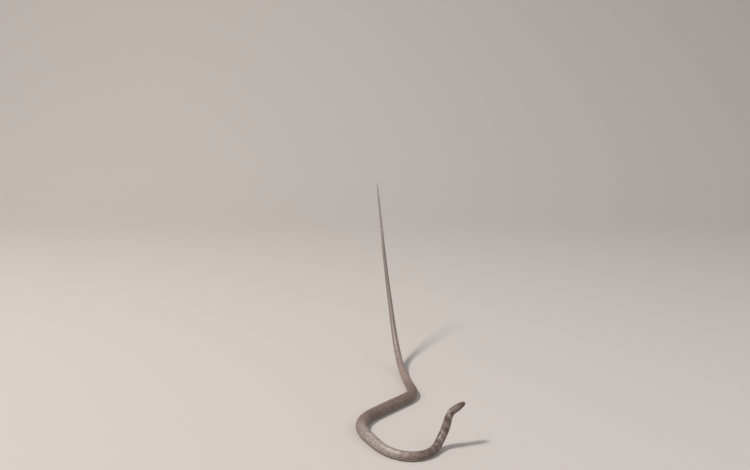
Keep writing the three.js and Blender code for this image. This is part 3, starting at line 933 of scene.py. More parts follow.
# %% [markdown]
# Scales on a real snake keep their spacing round the body, so an even step in degrees would crowd them on
# the flat belly's edge. Two helpers measure instead: one finds the angles that share out the arc round the
# body, and one walks along the body a pitch at a time.

# %% Spacing round and along the body
ARC_SAMPLES = 91


def on_arc(along, low, high, share):
    """The angles at a share of the arc between two angles, and the arc's length in mm"""
    fan = np.broadcast_to(low + (high - low) * np.linspace(0, 1, ARC_SAMPLES), (len(along), ARC_SAMPLES))
    x, z = section(along[:, None], fan)
    steps = np.hypot(np.diff(x), np.diff(z))
    arc = np.hstack([np.zeros((len(along), 1)), np.cumsum(steps, axis=1)])
    found = [np.interp(part * walked[-1], walked, angles) for part, walked, angles in zip(share, arc, fan)]
    return np.array(found), arc[:, -1]


def pitched(start, end, pitches):
    """Distances from the snout, one pitch apart, from start to the first one past end"""
    at = [start]
    while at[-1] < end:
        at.append(at[-1] + float(read_off(pitches, at[-1])))
    return np.array(at)


girth = on_arc(np.array([900.0]), 0, 360, [0])[1]
print("girth at the thickest, mm:", round(float(girth[0]), 1))

# %% [markdown]
# The scales lie in slanting rows: seventeen round the neck, fifteen round the body, fewer down the tail,
# each row half a scale ahead of its neighbours. Where a row ends, as the body thins towards the tail, the
# outermost ones slip under the belly plates and the rest spread, as on the animal. The two lowest rows are
# the widest. On the crown the scales start behind the last shields, which is a distance from the snout for
# each number of degrees from the spine.

# %% Where the back scales grow
ROW_COUNTS = [
    (40, 17), (330, 17), (400, 15), (1700, 15), (1880, 12), (1960, 9.5), (2060, 7.5), (2180, 5.8), (2290, 4),
    (2360, 3),
]
PITCHES = [
    (36, 3.4), (50, 4.2), (80, 5.2), (200, 6.4), (500, 7.8), (900, 8.4), (1300, 7.8), (1700, 6.6),
    (1880, 5.8), (2120, 4.6), (2360, 3),
]
CROWN_EDGE = [
    (0, 48.4), (15, 47.8), (28, 45.6), (33, 40.5), (40, 37.4), (46, 36.2), (60, 35.6), (90, 34.8),
    (115, 34.6),
]
FIRST_STEP, LAST_STEP, LAST_SCALE = 34.5, BODY_LENGTH - 6, BODY_LENGTH - 4
OUTERMOST_ROW = 9
ROW_SLACK = 0.1
OUTER_ROWS_WIDER = 0.09

steps = pitched(FIRST_STEP, LAST_STEP, PITCHES)
rows = np.arange(-OUTERMOST_ROW, OUTERMOST_ROW + 1)
pitch = read_off(PITCHES, steps)[:, None]
along = (steps[:, None] + pitch * 0.5 * (rows % 2)).ravel()
row = np.broadcast_to(rows, (len(steps), len(rows))).ravel()
count = read_off(ROW_COUNTS, along)
kept = (np.abs(row) <= count / 2 - ROW_SLACK) & (along < LAST_SCALE)
along, row, count = along[kept], row[kept], count[kept]
spread = row / (count / 2)
spread *= 1 - OUTER_ROWS_WIDER + OUTER_ROWS_WIDER * spread**2
angle, arc = on_arc(along, -BELLY_EDGE, 180 + BELLY_EDGE, 0.5 + spread / 2)
kept = along > read_off(CROWN_EDGE, np.abs(angle - 90))
along, row, count, spread, angle, arc = (values[kept] for values in (along, row, count, spread, angle, arc))
print("places:", len(along), "round the neck:", len(set(row[along < 200])), "rows")

# %% [markdown]
# A real scale covers the root of the one behind it and the edge of its neighbour, so the sizes are the
# spacing with an overlap. No two scales have quite one tone, and a whole row can be paler than the next, so
# the tones come from two random draws with fixed seeds. The scales are made in three pieces, each a stretch of
# the body. Three pieces keep each one light enough to export.

# %% The back scales
SCALE_BED = 0.7
OVERLAP = 1.55
SIDE_OVERLAP = 1.42
TALL_BY_WIDTH, TALL_BY_PITCH = 1.1, 0.9
ROW_TONE_SPREAD, SCALE_TONE_SPREAD, TONE_LIMIT = 0.35, 0.55, 1.4
DRAWN_ROWS, MIDDLE_ROW = 30, 12
STRETCHES = [("front", 0, 640), ("middle", 640, 1240), ("rear", 1240, BODY_LENGTH)]

random = np.random.default_rng(11)
row_tones = random.normal(0, ROW_TONE_SPREAD, DRAWN_ROWS)
tone = random.normal(0, SCALE_TONE_SPREAD, len(along)) + row_tones[row + MIDDLE_ROW]
tone = np.clip(tone, -TONE_LIMIT, TONE_LIMIT)
spacing = arc / count * (1 - OUTER_ROWS_WIDER + 3 * OUTER_ROWS_WIDER * spread**2)
pitch = read_off(PITCHES, along)
wide = spacing * SIDE_OVERLAP
long = pitch * OVERLAP
tall = np.minimum(spacing * TALL_BY_WIDTH, pitch * TALL_BY_PITCH)
depth = curve(COAT_DEPTHS, along) * SCALE_BED
back_scales = []
for name, start, end in STRETCHES:
    part = (along >= start) & (along < end)
    frames = on_surface(along[part], angle[part], long[part], depth[part])
    size = (wide[part], long[part], tall[part])
    laid = lay(
        "back_scales_" + name, one_scale, frames, along[part], angle[part], size, tone[part],
        back_keratin, 1,
    )
    back_scales.append(laid)
print("widest back scale, mm:", round(float(wide.max()), 1))

# %% [markdown]
# Under the body lies one broad plate after another, from the throat to the vent, and pairs of them under the
# tail. Their free edges grip the floor. Each could be cut from the body, but all have one shape: a strip of
# the belly's rounded section. So the same tree lays that strip along the body's middle line, and only its
# width, length and depth change. Angles are in degrees of the section, where 270 is the belly's middle.

# %% Belly and tail plates
VENT_AT = 1880
THROAT_AT = 47.0
LAST_PLATE, PLATES_END = BODY_LENGTH - 9, BODY_LENGTH - 1
BELLY_POWER = 2.3
PLATE_ROWS = [(0, 0.944), (0.5, 0.964), (0.86, 0.98), (1, 0.979)]
PLATE_COLUMNS = 11
PLATE_THICKNESS = 0.016
TUCK, TUCK_FROM, TUCK_SPAN = 0.02, 52, 14
BELLY_PITCHES = [(48, 5.6), (120, 7), (300, 7.4), (VENT_AT, 7.6)]
TAIL_PITCHES = [(VENT_AT, 5.8), (BODY_LENGTH, 4.2)]
TAIL_STAGGER = 2.5
PLATE_OVERLAP = 1.4
PLATE_TONE_SPREAD = 0.4


def belly_plate(name, low, high):
    """A strip of the belly's section between two angles, for a body whose half width and depth are 1"""
    turn = np.radians(np.linspace(low, high, PLATE_COLUMNS))
    across = -np.sign(np.cos(turn)) * np.abs(np.cos(turn)) ** (2 / BELLY_POWER)
    down = -np.minimum(1, BELLY_FLAT * np.abs(np.sin(turn)) ** (2 / BELLY_POWER))
    ring = np.stack([across, 0 * across, down], -1)
    tuck = 1 - TUCK * ramp(np.abs(np.degrees(turn) - 270), TUCK_FROM, TUCK_SPAN)
    top = np.stack([ring * (share * tuck)[:, None] + [0, y, 0] for y, share in PLATE_ROWS])
    return plate_shape(name, top, PLATE_THICKNESS, np.broadcast_to(ring, top.shape))


def lay_plates(name, low, high, along, pitches, angle, seed):
    """Lays one plate after another on the middle line, with their colour and bake patch at one angle"""
    shape = belly_plate(name + "_shape", low, high)
    half, _, belly, _, _ = sizes(along)
    long = np.minimum(read_off(pitches, along) * PLATE_OVERLAP, PLATES_END - along)
    tone = np.random.default_rng(seed).normal(0, PLATE_TONE_SPREAD, len(along))
    angles = np.full(len(along), angle)
    frames = on_middle_line(along, long)
    piece = lay(name, shape, frames, along, angles, (half, long, belly), tone, belly_keratin, seed, 0.0)
    bpy.data.objects.remove(shape)
    return piece


belly_at = pitched(THROAT_AT, VENT_AT, BELLY_PITCHES)
tail_at = pitched(VENT_AT + 1, LAST_PLATE, TAIL_PITCHES)
belly_plates = lay_plates("belly_plates", 198, 342, belly_at, BELLY_PITCHES, 270.0, 2)
left_tail_plates = lay_plates("left_tail_plates", 269, 342, tail_at, TAIL_PITCHES, 300.0, 3)
right_tail_plates = lay_plates("right_tail_plates", 198, 271, tail_at + TAIL_STAGGER, TAIL_PITCHES, 240.0, 4)
print("under the body:", len(belly_at), "plates, under the tail: 2 x", len(tail_at))

# %% [markdown]
# Under the chin, between the shields of the lower lip and the first belly plates, lie small smooth scales.
# They are made as the back scales are, from the same lozenge by the same tree, so they cost one short cell.
# Their patch reaches so many degrees from the belly's middle, and leaves out the chin shields.

# %% Chin scales
CHIN_REACH = [(14, 38), (18.4, 41), (23.4, 44), (29.4, 49), (35.2, 58), (38, 66), (60, 66)]
CHIN_SHIELD_EDGE = [(13, 40), (14.2, 33), (20, 31), (24.6, 14), (25.5, -1), (60, -1)]
CHIN_START, CHIN_END = 14.0, 53
CHIN_ROWS = 9
CHIN_PITCH = 3.3
CHIN_HEIGHT = 0.6

steps = np.arange(CHIN_START, CHIN_END, CHIN_PITCH)
chin_row = np.arange(CHIN_ROWS)
along = (steps[:, None] + CHIN_PITCH / 2 * (chin_row % 2)).ravel()
row = np.broadcast_to(chin_row, (len(steps), CHIN_ROWS)).ravel()
reach = read_off(CHIN_REACH, along)[:, None]
angle, arc = on_arc(along, 270 - reach, 270 + reach, (row + 0.5) / CHIN_ROWS)
kept = np.abs(angle - 270) > read_off(CHIN_SHIELD_EDGE, along)
along, angle, arc = along[kept], angle[kept], arc[kept]
wide = arc / CHIN_ROWS * SIDE_OVERLAP
long = np.full(len(along), CHIN_PITCH * OVERLAP)
frames = on_surface(along, angle, long, curve(COAT_DEPTHS, along) * SCALE_BED)
tone = np.random.default_rng(5).normal(0, PLATE_TONE_SPREAD, len(along))
size = (wide, long, wide * CHIN_HEIGHT)
chin_scales = lay("chin_scales", one_scale, frames, along, angle, size, tone, belly_keratin, 5)
bpy.data.objects.remove(one_scale)
print("widest chin scale, mm:", round(float(wide.max()), 1))

# %% [markdown]
# The head wears large shields with fixed names and places: pairs on the snout, one shield between the eyes
# with a brow on each side, and behind the crown two large ones that only this cobra has. Seven shields line
# each lip. They could be drawn as lines in a texture, but a shield is a plate of its own with a raised,
# rounded rim that catches light. So each gets a plan: its corners, as a distance from the snout and degrees
# up from the side, shared with its neighbours. Paired ones are given on the left, middle ones by their left
# half.

# %% The plan of the shields
MIDDLE_SHIELDS = {
    "rostral": [(1.05, -90), (1.47, -57.5), (0.76, -16), (0.85, 53.5), (1.18, 90)],
    "frontal": [(13.4, 90), (13.5, 73.5), (21, 72.5), (25, 90)],
    "mental": [(1.05, -90), (1.43, -62), (2.87, -78.5), (3.48, -90)],
}
PAIRED_SHIELDS = {
    "internasal": [(1.18, 90), (0.85, 53.5), (4.2, 55.5), (5.4, 55.5), (8.2, 53), (8.2, 90)],
    "prefrontal": [(8.2, 90), (8.2, 53), (10.6, 39), (12.9, 46.5), (13.5, 73.5), (13.4, 90)],
    "brow": [
        (12.9, 46.5), (13.5, 73.5), (21, 72.5), (22.9, 57), (21.4, 43.5), (17.5, 29.5), (15.8, 31),
        (14.2, 31.5),
    ],
    "parietal": [(25, 90), (21, 72.5), (22.9, 57), (26, 45), (30.5, 45), (32, 45), (37, 60), (38.6, 90)],
    "occipital": [(38.6, 90), (37, 60), (41, 52), (46, 58), (48.6, 74.5), (49, 90)],
    "front_nasal": [(0.85, 53.5), (4.2, 55.5), (5.4, 55.5), (4.7, 8), (4.9, -5.5), (2.6, -7.5), (0.76, -16)],
    "rear_nasal": [(5.4, 55.5), (8.2, 53), (8.5, 18), (8.6, -5), (6.2, -5), (4.9, -5.5), (4.7, 8)],
    "before_eye": [
        (8.2, 53), (10.6, 39), (12.9, 46.5), (14.2, 31.5), (12.9, 25), (12.2, 11), (12.9, 0), (12.4, -6),
        (9.8, -5), (8.6, -5), (8.5, 18),
    ],
    "behind_eye_low": [(17.9, -1), (22.4, -2.5), (22.6, 5), (18.7, 4)],
    "behind_eye_middle": [(18.7, 4), (22.6, 5), (22.7, 15.5), (18.7, 14)],
    "behind_eye_high": [(18.7, 14), (22.7, 15.5), (23.6, 33.5), (22.9, 57), (21.4, 43.5), (17.5, 29.5)],
    "front_lower_temple": [(22.4, -2.5), (22.6, 5), (22.7, 15.5), (29.8, 16.5), (29.6, 0)],
    "front_upper_temple": [
        (22.7, 15.5), (23.6, 33.5), (23.1, 50), (23.9, 53), (26, 45), (30.5, 45), (29.8, 16.5),
    ],
    "rear_lower_temple": [(29.6, 0), (29.8, 16.5), (37.2, 17), (36.4, 1)],
    "rear_upper_temple": [(29.8, 16.5), (30.5, 45), (32, 45), (37, 60), (38.4, 33.5), (37.2, 17)],
    "front_chin": [(5.2, -90), (4.6, -71.5), (6.2, -60.5), (9, -56.5), (12, -54.5), (14.2, -58), (14.6, -90)],
    "rear_chin": [(14.6, -90), (14.2, -58), (17, -57), (20, -60), (24.6, -78), (25, -90)],
}
UPPER_LIPS = [
    (1.47, 6.2, [(6.2, -5), (4.9, -5.5), (2.6, -7.5), (0.76, -16)]),
    (6.2, 9.8, [(9.8, -5), (8.6, -5), (6.2, -5)]),
    (9.8, 13.4, [(13.4, -2.5), (12.9, 0), (12.4, -6), (9.8, -5)]),
    (13.4, 17.8, [(17.9, -1), (17.1, -4.5), (15.5, -6.5), (13.9, -4.5), (13.4, -2.5)]),
    (17.8, 22.4, [(22.4, -2.5), (17.9, -1)]),
    (22.4, 29.2, [(29.6, 0), (22.4, -2.5)]),
    (29.2, 36, [(36.4, 1), (29.6, 0)]),
]
LOWER_LIPS = [
    (1.43, 6, [(6.2, -60.5), (4.6, -71.5), (5.2, -90), (3.48, -90), (2.87, -78.5)]),
    (6, 10, [(10, -56), (9, -56.5), (6.2, -60.5)]),
    (10, 14, [(14, -52.5), (12, -54.5), (10, -56)]),
    (14, 18.4, [(18.4, -49.5), (14, -52.5)]),
    (18.4, 23.4, [(23.4, -47), (18.4, -49.5)]),
    (23.4, 29.4, [(29.4, -42), (23.4, -47)]),
    (29.4, 35.2, [(35.2, -32), (29.4, -42)]),
]
for name, lips in (("upper_lip", UPPER_LIPS), ("lower_lip", LOWER_LIPS)):
    for number, (start, end, corners) in enumerate(lips, 1):
        mouth = [(at, -float(mouth_angle(at))) for at in np.linspace(start, end, 4)]
        PAIRED_SHIELDS[f"{name}_{number}"] = mouth + corners
print("shields:", len(MIDDLE_SHIELDS) + 2 * len(PAIRED_SHIELDS))

# %% [markdown]
# The head is straight, so from here to the eyes a point is its distance from the snout, its place across and
# its height, in mm. A flat shield has to bend onto the head. Each of its points moves along the shield's
# normal until it meets the head's surface, and halving the distance twenty times finds that closely enough.
# A Shrinkwrap modifier does the same for a mesh. Here the surface is a formula, which gives its normals too.

# %% Meeting the head
SEARCH = 4
HALVINGS = 20
SLOPE_STEP = 0.05


def outside_head(points):
    """Above 0 outside the head, below 0 inside it"""
    along = np.clip(points[:, 0], 0.01, None)
    half, back, belly, back_power, belly_power = sizes(along)
    above = points[:, 2] >= 0
    tall = np.where(above, back, belly * BELLY_FLAT)
    power = np.where(above, back_power, belly_power)
    beyond = (np.abs(points[:, 1]) / half) ** power + (np.abs(points[:, 2]) / tall) ** power - 1
    return np.where(points[:, 0] <= 0, 1, np.maximum(beyond, -points[:, 2] / belly - 1))


def drop_on_head(points, normal):
    """Where lines along the normal leave the head"""
    low, high = np.full(len(points), -float(SEARCH)), np.full(len(points), float(SEARCH))
    for _ in range(HALVINGS):
        mid = (low + high) / 2
        out = outside_head(points + mid[:, None] * normal) > 0
        low, high = np.where(out, low, mid), np.where(out, mid, high)
    return points + ((low + high) / 2)[:, None] * normal


def head_normals(points):
    """The way out of the head at each point"""
    steps = SLOPE_STEP * np.eye(3)
    slopes = [outside_head(points + step) - outside_head(points - step) for step in steps]
    normals = np.stack(slopes, -1)
    return normals / np.maximum(np.linalg.norm(normals, axis=1, keepdims=True), 1e-9)


crown = drop_on_head(np.array([[20.0, 0, 9]]), np.array([0, 0, 1.0]))
print("crown at 20 mm:", crown.round(2), "faces", head_normals(crown).round(2))

# %% [markdown]
# A shield's outline is its corners joined over the head, about a millimetre a step. Two more tools work on an
# outline laid flat: one moves it inwards, which leaves a seam between neighbours, and one measures how far a
# point is from it, which later rounds the rim.

# %% Outlines of shields
RIM_STEP = 1.1
EDGE_SAMPLES = 13


def shield_outline(corners, closed=True):
    """The corners joined over the head's surface. An open one is the left half of a middle shield"""
    loop = []
    for (along_a, angle_a), (along_b, angle_b) in zip(corners, corners[1:] + corners[:1]):
        share = np.linspace(0, 1, EDGE_SAMPLES)
        at, angle = along_a + (along_b - along_a) * share, angle_a + (angle_b - angle_a) * share
        path = np.stack([at, *section(at, angle)], -1)
        length = np.linalg.norm(np.diff(path, axis=0), axis=1).sum()
        pieces = max(1, round(length / RIM_STEP))
        loop.append(path[np.round(np.linspace(0, EDGE_SAMPLES - 1, pieces + 1)[:-1]).astype(int)])
    return np.vstack(loop if closed else loop[:-1] + [loop[-1][:1]])


def inset(loop, distance):
    """A flat outline moved inwards"""
    along_edge = np.roll(loop, -1, 0) - np.roll(loop, 1, 0)
    inward = np.stack([-along_edge[:, 1], along_edge[:, 0]], -1)
    return loop + distance * inward / np.linalg.norm(inward, axis=1, keepdims=True)


def rim_distance(points, loop):
    """How far each point is from the outline, negative outside it"""
    start, edge = loop, np.roll(loop, -1, 0) - loop
    offset = points[:, None] - start
    share = np.clip((offset * edge).sum(-1) / (edge**2).sum(-1), 0, 1)
    distance = np.linalg.norm(offset - share[..., None] * edge, axis=-1).min(axis=1)
    y, top = points[:, None, 1], np.roll(loop[:, 1], -1)
    crossing = (start[:, 1] > y) != (top > y)
    reach = start[:, 0] + (y - start[:, 1]) * edge[:, 0] / np.where(edge[:, 1] == 0, 1e-9, edge[:, 1])
    inside = (crossing & (points[:, None, 0] < reach)).sum(axis=1) % 2 == 1
    return np.where(inside, distance, -distance)


loops = []
for chain in MIDDLE_SHIELDS.values():
    left = shield_outline(chain, False)
    loops.append(np.vstack([left, left[-2:0:-1] * [1, -1, 1]]))
for chain in PAIRED_SHIELDS.values():
    left = shield_outline(chain)
    loops += [left, left[::-1] * [1, -1, 1]]
print("outlines:", len(loops), "with", sum(len(loop) for loop in loops), "points")

# %% [markdown]
# A shield needs points inside its outline as well, or it could not bend with the head. A staggered grid of
# them makes even triangles. Two nasal shields meet at the nostril, and both leave it open, so the grid keeps
# clear of it and a ring of points is set round it.

# %% Points inside a shield
SHIELD_GRID = 0.75
RIM_WIDTHS = (0.2, 0.5)
CLEAR = 0.3
HOLE_POINTS = 12
BESIDE_HEAD = 8.0


def nostril_ring(side):
    """A ring of points round the nostril on one side of the head"""
    turn = np.linspace(0, 2 * math.pi, HOLE_POINTS, endpoint=False)
    at = NOSTRIL["along"] + NOSTRIL["radius"] * np.cos(turn)
    height = NOSTRIL["height"] + NOSTRIL["radius"] * np.sin(turn)
    start = np.stack([at, np.full(HOLE_POINTS, side * BESIDE_HEAD), height], -1)
    return drop_on_head(start, np.array([0, side, 0.0]))


def fill_points(rim, hole):
    """A staggered grid inside a flat rim, clear of it and of the nostril"""
    low, high = rim.min(axis=0), rim.max(axis=0)
    lines = (np.arange(a, b, SHIELD_GRID) for a, b in zip(low, high))
    grid = np.stack(np.meshgrid(*lines), -1).reshape(-1, 2)
    grid[:, 0] += SHIELD_GRID / 2 * (np.round((grid[:, 1] - low[1]) / SHIELD_GRID) % 2)
    near_hole = np.linalg.norm(grid - hole.mean(axis=0), axis=1) < NOSTRIL["radius"] + CLEAR
    return grid[(rim_distance(grid, rim) > RIM_WIDTHS[-1] + CLEAR) & ~near_hole]


print("left nostril, mm from the snout, across and up:", nostril_ring(1).mean(axis=0).round(1))

# %% [markdown]
# A shield is cut flat, on the plane that fits its outline, because triangles are only sure to fill an outline
# on a plane. Its corners are cut at a quarter of each edge, and two rings follow the rim for its rounding.
# Delaunay triangles join all the points, those in the nostril are left out, and the points drop onto the
# head.

# %% Cutting a shield
SEAM = 0.13
RING_KEPT = 0.9
HOLE_KEPT, HOLE_OPEN = 0.1, 0.97


def cut_shield(loop):
    """Points on the head, their flat places, their distance from the rim, and triangles"""
    middle = loop.mean(axis=0)
    normal = np.cross(loop - middle, np.roll(loop, -1, 0) - middle).sum(axis=0)
    normal /= np.linalg.norm(normal)
    if normal @ head_normals(loop).mean(axis=0) < 0:
        loop, normal = loop[::-1], -normal
    across = np.cross(normal, [0, 0, 1] if abs(normal[2]) < 0.9 else [1, 0, 0])
    across /= np.linalg.norm(across)
    axes = np.stack([across, np.cross(normal, across)])
    flat = (loop - middle) @ axes.T
    after = np.roll(flat, -1, 0)
    rim = np.stack([0.75 * flat + 0.25 * after, 0.25 * flat + 0.75 * after], 1).reshape(-1, 2)
    rim = inset(rim, SEAM)
    rings = [inset(rim, width) for width in RIM_WIDTHS]
    rings = [ring[rim_distance(ring, rim) > RING_KEPT * width] for ring, width in zip(rings, RIM_WIDTHS)]
    hole = nostril_ring(math.copysign(1, middle[1]))
    flat_hole = (hole - middle) @ axes.T
    fill = fill_points(rim, flat_hole)
    flat_hole = flat_hole[rim_distance(flat_hole, rim) > HOLE_KEPT]
    spots = [Vector(spot) for spot in np.vstack([rim, *rings, fill, flat_hole])]
    edges = [(i, (i + 1) % len(rim)) for i in range(len(rim))]
    spots, _, faces, *_ = delaunay_2d_cdt(spots, edges, [], 1, 1e-4)
    spots = np.array(spots)
    points = drop_on_head(middle + spots @ axes, normal)
    centres = points[np.array(faces)].mean(axis=1)
    in_hole = np.linalg.norm(centres - hole.mean(axis=0), axis=1) < NOSTRIL["radius"] * HOLE_OPEN
    faces = [face for face, gone in zip(faces, in_hole) if not gone]
    return points, spots, np.maximum(rim_distance(spots, rim), 0), faces


frontal = cut_shield(loops[1])
print("frontal shield:", len(frontal[0]), "points,", len(frontal[3]), "triangles")

# %% [markdown]
# Each cut shield becomes a closed plate: its top rises from a rounded rim to a slight dome, its underside is
# sunk in the skin, and a wall joins them. The Solidify modifier would give a plate of one thickness with
# square edges. The wall stands on the edges that only one triangle has.

# %% Plates for the shields
SHIELD_BED, SHIELD_SINK = 0.24, 0.7
SHIELD_RISE, RIM_ROUND = 0.24, 0.6
SHIELD_DOME, DOME_REACH = 0.1, 2


def shield_plate(points, distance, faces):
    """A top and an underside from one set of triangles, and the wall between them"""
    count = len(points)
    round_off = 1 - (1 - np.minimum(distance / RIM_ROUND, 1)) ** 2
    lift = SHIELD_RISE * round_off + SHIELD_DOME * (1 - np.exp(-distance / DOME_REACH)) - SHIELD_BED
    normals = head_normals(points)
    both = np.vstack([points + normals * lift[:, None], points - normals * SHIELD_SINK])
    directed = {(face[i], face[(i + 1) % 3]) for face in faces for i in range(3)}
    plate = [tuple(face) for face in faces]
    plate += [tuple(count + corner for corner in face[::-1]) for face in faces]
    for a, b in sorted(edge for edge in directed if edge[::-1] not in directed):
        plate.append((b, a, count + a, count + b))
    return both, plate


both, plate = shield_plate(frontal[0], frontal[2], frontal[3])
print("frontal shield as a plate:", len(both), "points,", len(plate), "faces")

# %% [markdown]
# The shields are made one after another and joined into one piece, because they have one finish. Their
# spots, which the growth lines follow, are counted in spans of 25 mm, so that a line is 2 mm wide here, and
# shows on these large shields. Their bake map is the head rolled out flat, with the hidden faces beside it.

# %% The shields
NOSE_TIP = 0.05
# The shields' dark hem, partly painted shade along their seams: its width in mm and its strength
DARK_EDGE_AND_SHADE_WIDTH = 0.8
SHIELD_DARK_EDGE_AND_SHADE = 0.6
SHIELD_SPAN = 25
SHIELD_TONE_SPREAD = 0.3
ROLLED_MIDDLE, ROLLED_WIDTH, HIDDEN_SHIFT = 0.25, 0.2, 0.4
SHIELD_SHARP_ANGLE = 60


def section_angles(points):
    """The angles of points round the head, and the same counted on past 180 where a shield crosses it"""
    half, back, _, _, _ = sizes(np.maximum(points[:, 0], NOSE_TIP))
    angle = np.degrees(np.arctan2(points[:, 2] / back, points[:, 1] / half))
    middle = math.degrees(math.atan2(np.sin(np.radians(angle)).mean(), np.cos(np.radians(angle)).mean()))
    return angle, middle + (angle - middle + 180) % 360 - 180


shield_points, shield_faces, shield_rims, shield_spots, shield_colours, shield_map = [], [], [], [], [], []
random = np.random.default_rng(21)
for loop in loops:
    points, spots, distance, faces = cut_shield(loop)
    both, plate = shield_plate(points, distance, faces)
    angle, unwound = section_angles(points)
    rolled = np.column_stack([points[:, 0] / SHEET_LENGTH, unwound / 360 * ROLLED_WIDTH])
    rolled += [STRIP_MARGIN, ROLLED_MIDDLE]
    for face in plate:
        hidden = max(face) >= len(points)
        shield_map.append(rolled[np.array(face) % len(points)] + [0, HIDDEN_SHIFT * hidden])
    first = sum(len(part) for part in shield_points)
    shield_faces += [tuple(first + corner for corner in face) for face in plate]
    shield_points.append(both)
    shield_rims += [1 - distance / DARK_EDGE_AND_SHADE_WIDTH, np.ones(len(points))]
    shield_spots += [np.column_stack([spots / SHIELD_SPAN, np.zeros(len(points))])] * 2
    tone = random.normal(0, SHIELD_TONE_SPREAD)
    shield_colours += [markings(np.maximum(points[:, 0], 0), around_body(angle), tone)] * 2
local = np.vstack(shield_points)
head_shields = mesh_object("head_shields", place(*local.T), shield_faces, head_keratin)
store(head_shields, RIM, "FLOAT", np.clip(np.concatenate(shield_rims), 0, 1))
store(head_shields, SPOT, "FLOAT_VECTOR", np.vstack(shield_spots))
store(head_shields, MARKING, "FLOAT_COLOR", np.vstack(shield_colours))
store(head_shields, DARK_EDGE_AND_SHADE, "FLOAT", np.full(len(local), SHIELD_DARK_EDGE_AND_SHADE))
store(head_shields, BAKE_MAP, "FLOAT2", np.vstack(shield_map), "CORNER")
head_shields.data.set_sharp_from_angle(angle=math.radians(SHIELD_SHARP_ANGLE))
print("head shields:", len(loops), "with", len(shield_faces), "faces")

# %% [markdown]
# A snake has no lids: a clear fixed scale, the spectacle, covers the eye. It gives a small sharp glint over a
# dark, slightly dull depth, which a clear coat over a rougher base does without a glass shell and its cost.
# The iris is brown with fine spokes, round a round pupil. Real fibres are about 0.02 mm wide. They are drawn
# 0.2 mm wide, so that they show. Each ring of the eye carries its gaze: 0 in the pupil's middle, 1 at the
# edge.

# %% Wet eyes
GAZE = "gaze"
SPECTACLE_IOR = 1.38
IRIS_MIDDLE = 1.8
IRIS_FIBRE = 0.2
SPOT_RADIUS, SPOT_DEPTH = 3, 0.6
IRIS_TONE, IRIS_PALE, IRIS_EDGE, PUPIL = "#4a2d18", "#a5773d", "#1c110b", "#060404"
PALE_RAMP, EDGE_RAMP, PUPIL_RAMP = (0.35, 0.7), (0.72, 0.95), (0.47, 0.42)

eye_wet, tree = new_material("wet_spectacle_over_brown_iris")
gaze = add_node(tree, "ShaderNodeAttribute", attribute_name=GAZE, out=2)
on_eye = add_node(tree, "ShaderNodeAttribute", attribute_name=SPOT, out=1)
fibres = {"Vector": on_eye, "Scale": IRIS_MIDDLE / (SPOT_RADIUS * IRIS_FIBRE), "Detail": 4.0}
spokes = add_node(tree, "ShaderNodeTexNoise", fibres)
pale = add_node(tree, "ShaderNodeMapRange", (spokes, *PALE_RAMP))
iris = add_node(tree, "ShaderNodeMix", (pale, linear(IRIS_TONE), linear(IRIS_PALE)), data_type="RGBA")
outer = add_node(tree, "ShaderNodeMapRange", (gaze, *EDGE_RAMP), interpolation_type="SMOOTHSTEP")
iris = add_node(tree, "ShaderNodeMix", (outer, iris, linear(IRIS_EDGE)), data_type="RGBA")
pupil = add_node(tree, "ShaderNodeMapRange", (gaze, *PUPIL_RAMP), interpolation_type="SMOOTHSTEP")
iris = add_node(tree, "ShaderNodeMix", (pupil, iris, linear(PUPIL)), data_type="RGBA")
wet = add_node(
    tree, "ShaderNodeBsdfPrincipled",
    {"Base Color": iris, "Roughness": 0.35, "IOR": SPECTACLE_IOR, "Coat Weight": 0.6, "Coat Roughness": 0.03},
)
add_node(tree, "ShaderNodeOutputMaterial", {"Surface": wet})
print("eye:", len(tree.nodes), "nodes")

# %% [markdown]
# The spectacle stands out of the head like a lens, so the eye is rings about its own axis, flatter than a
# ball: a UV sphere would bulge too far or hide too deep. A thin roll of soft skin, dropped onto the head
# round it, holds it in place and hides where it enters.

# %% Rings for the eyes
EYE_SPOKES = 48
LOOKS_LEVEL = (1, 1, 0.5)
BESIDE_EYE = 6.0


def ring_faces(rings, around, closed):
    """Quads between rings of points, from the first ring outwards"""
    faces = []
    for i in range(rings if closed else rings - 1):
        here, there = i * around, (i + 1) % rings * around
        for j in range(around):
            after = (j + 1) % around
            faces.append((here + j, there + j, there + after, here + after))
    return faces


def eye_axes(side):
    """The eye's middle on the head, the way it looks, and the turns and ways of its spokes"""
    start = np.array([[EYE["along"], side * BESIDE_EYE, EYE["height"]]])
    middle = drop_on_head(start, np.array([0, side, 0.0]))[0]
    axis = head_normals(middle[None])[0] * LOOKS_LEVEL
    axis /= np.linalg.norm(axis)
    across = np.cross([0, 0, 1], axis)
    across /= np.linalg.norm(across)
    upward = np.cross(axis, across)
    turn = np.linspace(0, 2 * math.pi, EYE_SPOKES, endpoint=False)
    return middle, axis, turn, np.cos(turn)[:, None] * across + np.sin(turn)[:, None] * upward


print("the left eye looks along:", eye_axes(1)[1].round(2))

# %% [markdown]
# The left eye and its rim are made first, then the right ones, each by its own measured axis. A mirrored copy
# would turn the faces inside out. The last ring of an eye is a narrow neck inside the head.

# %% The eyes
EYE_RADIUS, EYE_BULGE, EYE_ROOT = 2.95, 0.95, 1.2
EYE_SEAT, EYE_NECK = 0.1, 0.8
EYE_RINGS, FIRST_RING = 16, 0.04
LID_RADIUS, LID_THICKNESS, LID_RISE = 3.08, 0.26, 0.05
LID_RINGS, LID_FLATNESS = 10, 0.8
LID_TONE = "#43352e"


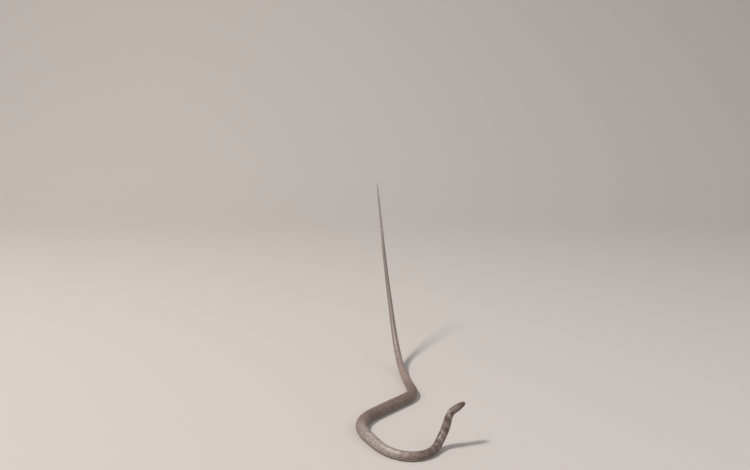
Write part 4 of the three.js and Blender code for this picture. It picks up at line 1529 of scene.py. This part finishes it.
def make_eye(name, middle, axis, turn, spoke):
    """A lens of rings, with its gaze and the spots of its fibres"""
    front = np.linspace(FIRST_RING, 1, EYE_RINGS)
    radii = np.append(EYE_RADIUS * front, EYE_RADIUS * EYE_NECK)
    heights = np.append(EYE_BULGE * (1 - front**2) - EYE_SEAT, -EYE_ROOT)
    eye_points = [middle + spoke * radius + axis * height for radius, height in zip(radii, heights)]
    poles = [middle + axis * (EYE_BULGE - EYE_SEAT), middle - axis * EYE_ROOT]
    faces = ring_faces(len(radii), EYE_SPOKES, False)
    pole = len(radii) * EYE_SPOKES
    for i in range(EYE_SPOKES):
        after = (i + 1) % EYE_SPOKES
        faces += [(pole, i, after), (pole + 1, pole - EYE_SPOKES + after, pole - EYE_SPOKES + i)]
    eye = mesh_object(name, place(*np.vstack(eye_points + poles).T), faces, eye_wet)
    gazes = np.append(np.repeat(np.append(front, 1), EYE_SPOKES), [0, 1])
    angles = np.append(np.tile(turn, len(radii)), [0, 0])
    round_eye = [SPOT_RADIUS * np.cos(angles), SPOT_RADIUS * np.sin(angles), gazes * SPOT_DEPTH]
    store(eye, GAZE, "FLOAT", gazes)
    store(eye, SPOT, "FLOAT_VECTOR", np.stack(round_eye, -1))
    return eye


def make_rim(name, middle, axis, spoke):
    """A roll of soft skin round an eye"""
    swell = np.linspace(2 * math.pi, 0, LID_RINGS, endpoint=False)
    seated = drop_on_head(middle + spoke * LID_RADIUS, axis)
    lid = []
    for rise, out in zip(np.sin(swell) * LID_THICKNESS * LID_FLATNESS, np.cos(swell) * LID_THICKNESS):
        lid.append(seated + spoke * out + axis * (rise + LID_RISE))
    faces = ring_faces(LID_RINGS, EYE_SPOKES, True)
    rim = mesh_object(name, place(*np.vstack(lid).T), faces, skin_between)
    store(rim, MARKING, "FLOAT_COLOR", np.tile(linear(LID_TONE), (LID_RINGS * EYE_SPOKES, 1)))
    return rim


eyes, rims = [], []
for side, name in ((1, "left"), (-1, "right")):
    middle, axis, turn, spoke = eye_axes(side)
    eyes.append(make_eye("eyeball_" + name, middle, axis, turn, spoke))
    rims.append(make_rim("eye_rim_" + name, middle, axis, spoke))
print("eyes:", [eye.name for eye in eyes], "rims:", [rim.name for rim in rims])

# %% [markdown]
# Every piece rides on the model's one body. The skin, with its coat of scales, takes the place of the solid
# flesh, which is hidden, and each eyeball takes that of its solid eye. The sizes of the solids and of the
# dressed model are put side by side. The model has to stay inside the solids' box.

# %% Frame calls
FLESH = ["head", "lower_jaw", "neck", "tail_1", "tail_2"] + [f"body_{i}" for i in range(1, 8)]
coat = back_scales + [belly_plates, left_tail_plates, right_tail_plates, chin_scales, head_shields]
for piece in [skin, *coat, *rims]:
    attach(piece, "root")
for eye, node in zip(eyes, ("eye_left", "eye_right")):
    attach(eye, "root")
    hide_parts(node)
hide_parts(*FLESH)
size = {"cad_box": cad_box, "visual_box": [list(corner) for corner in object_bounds()]}
print("dressed model:", size["visual_box"])
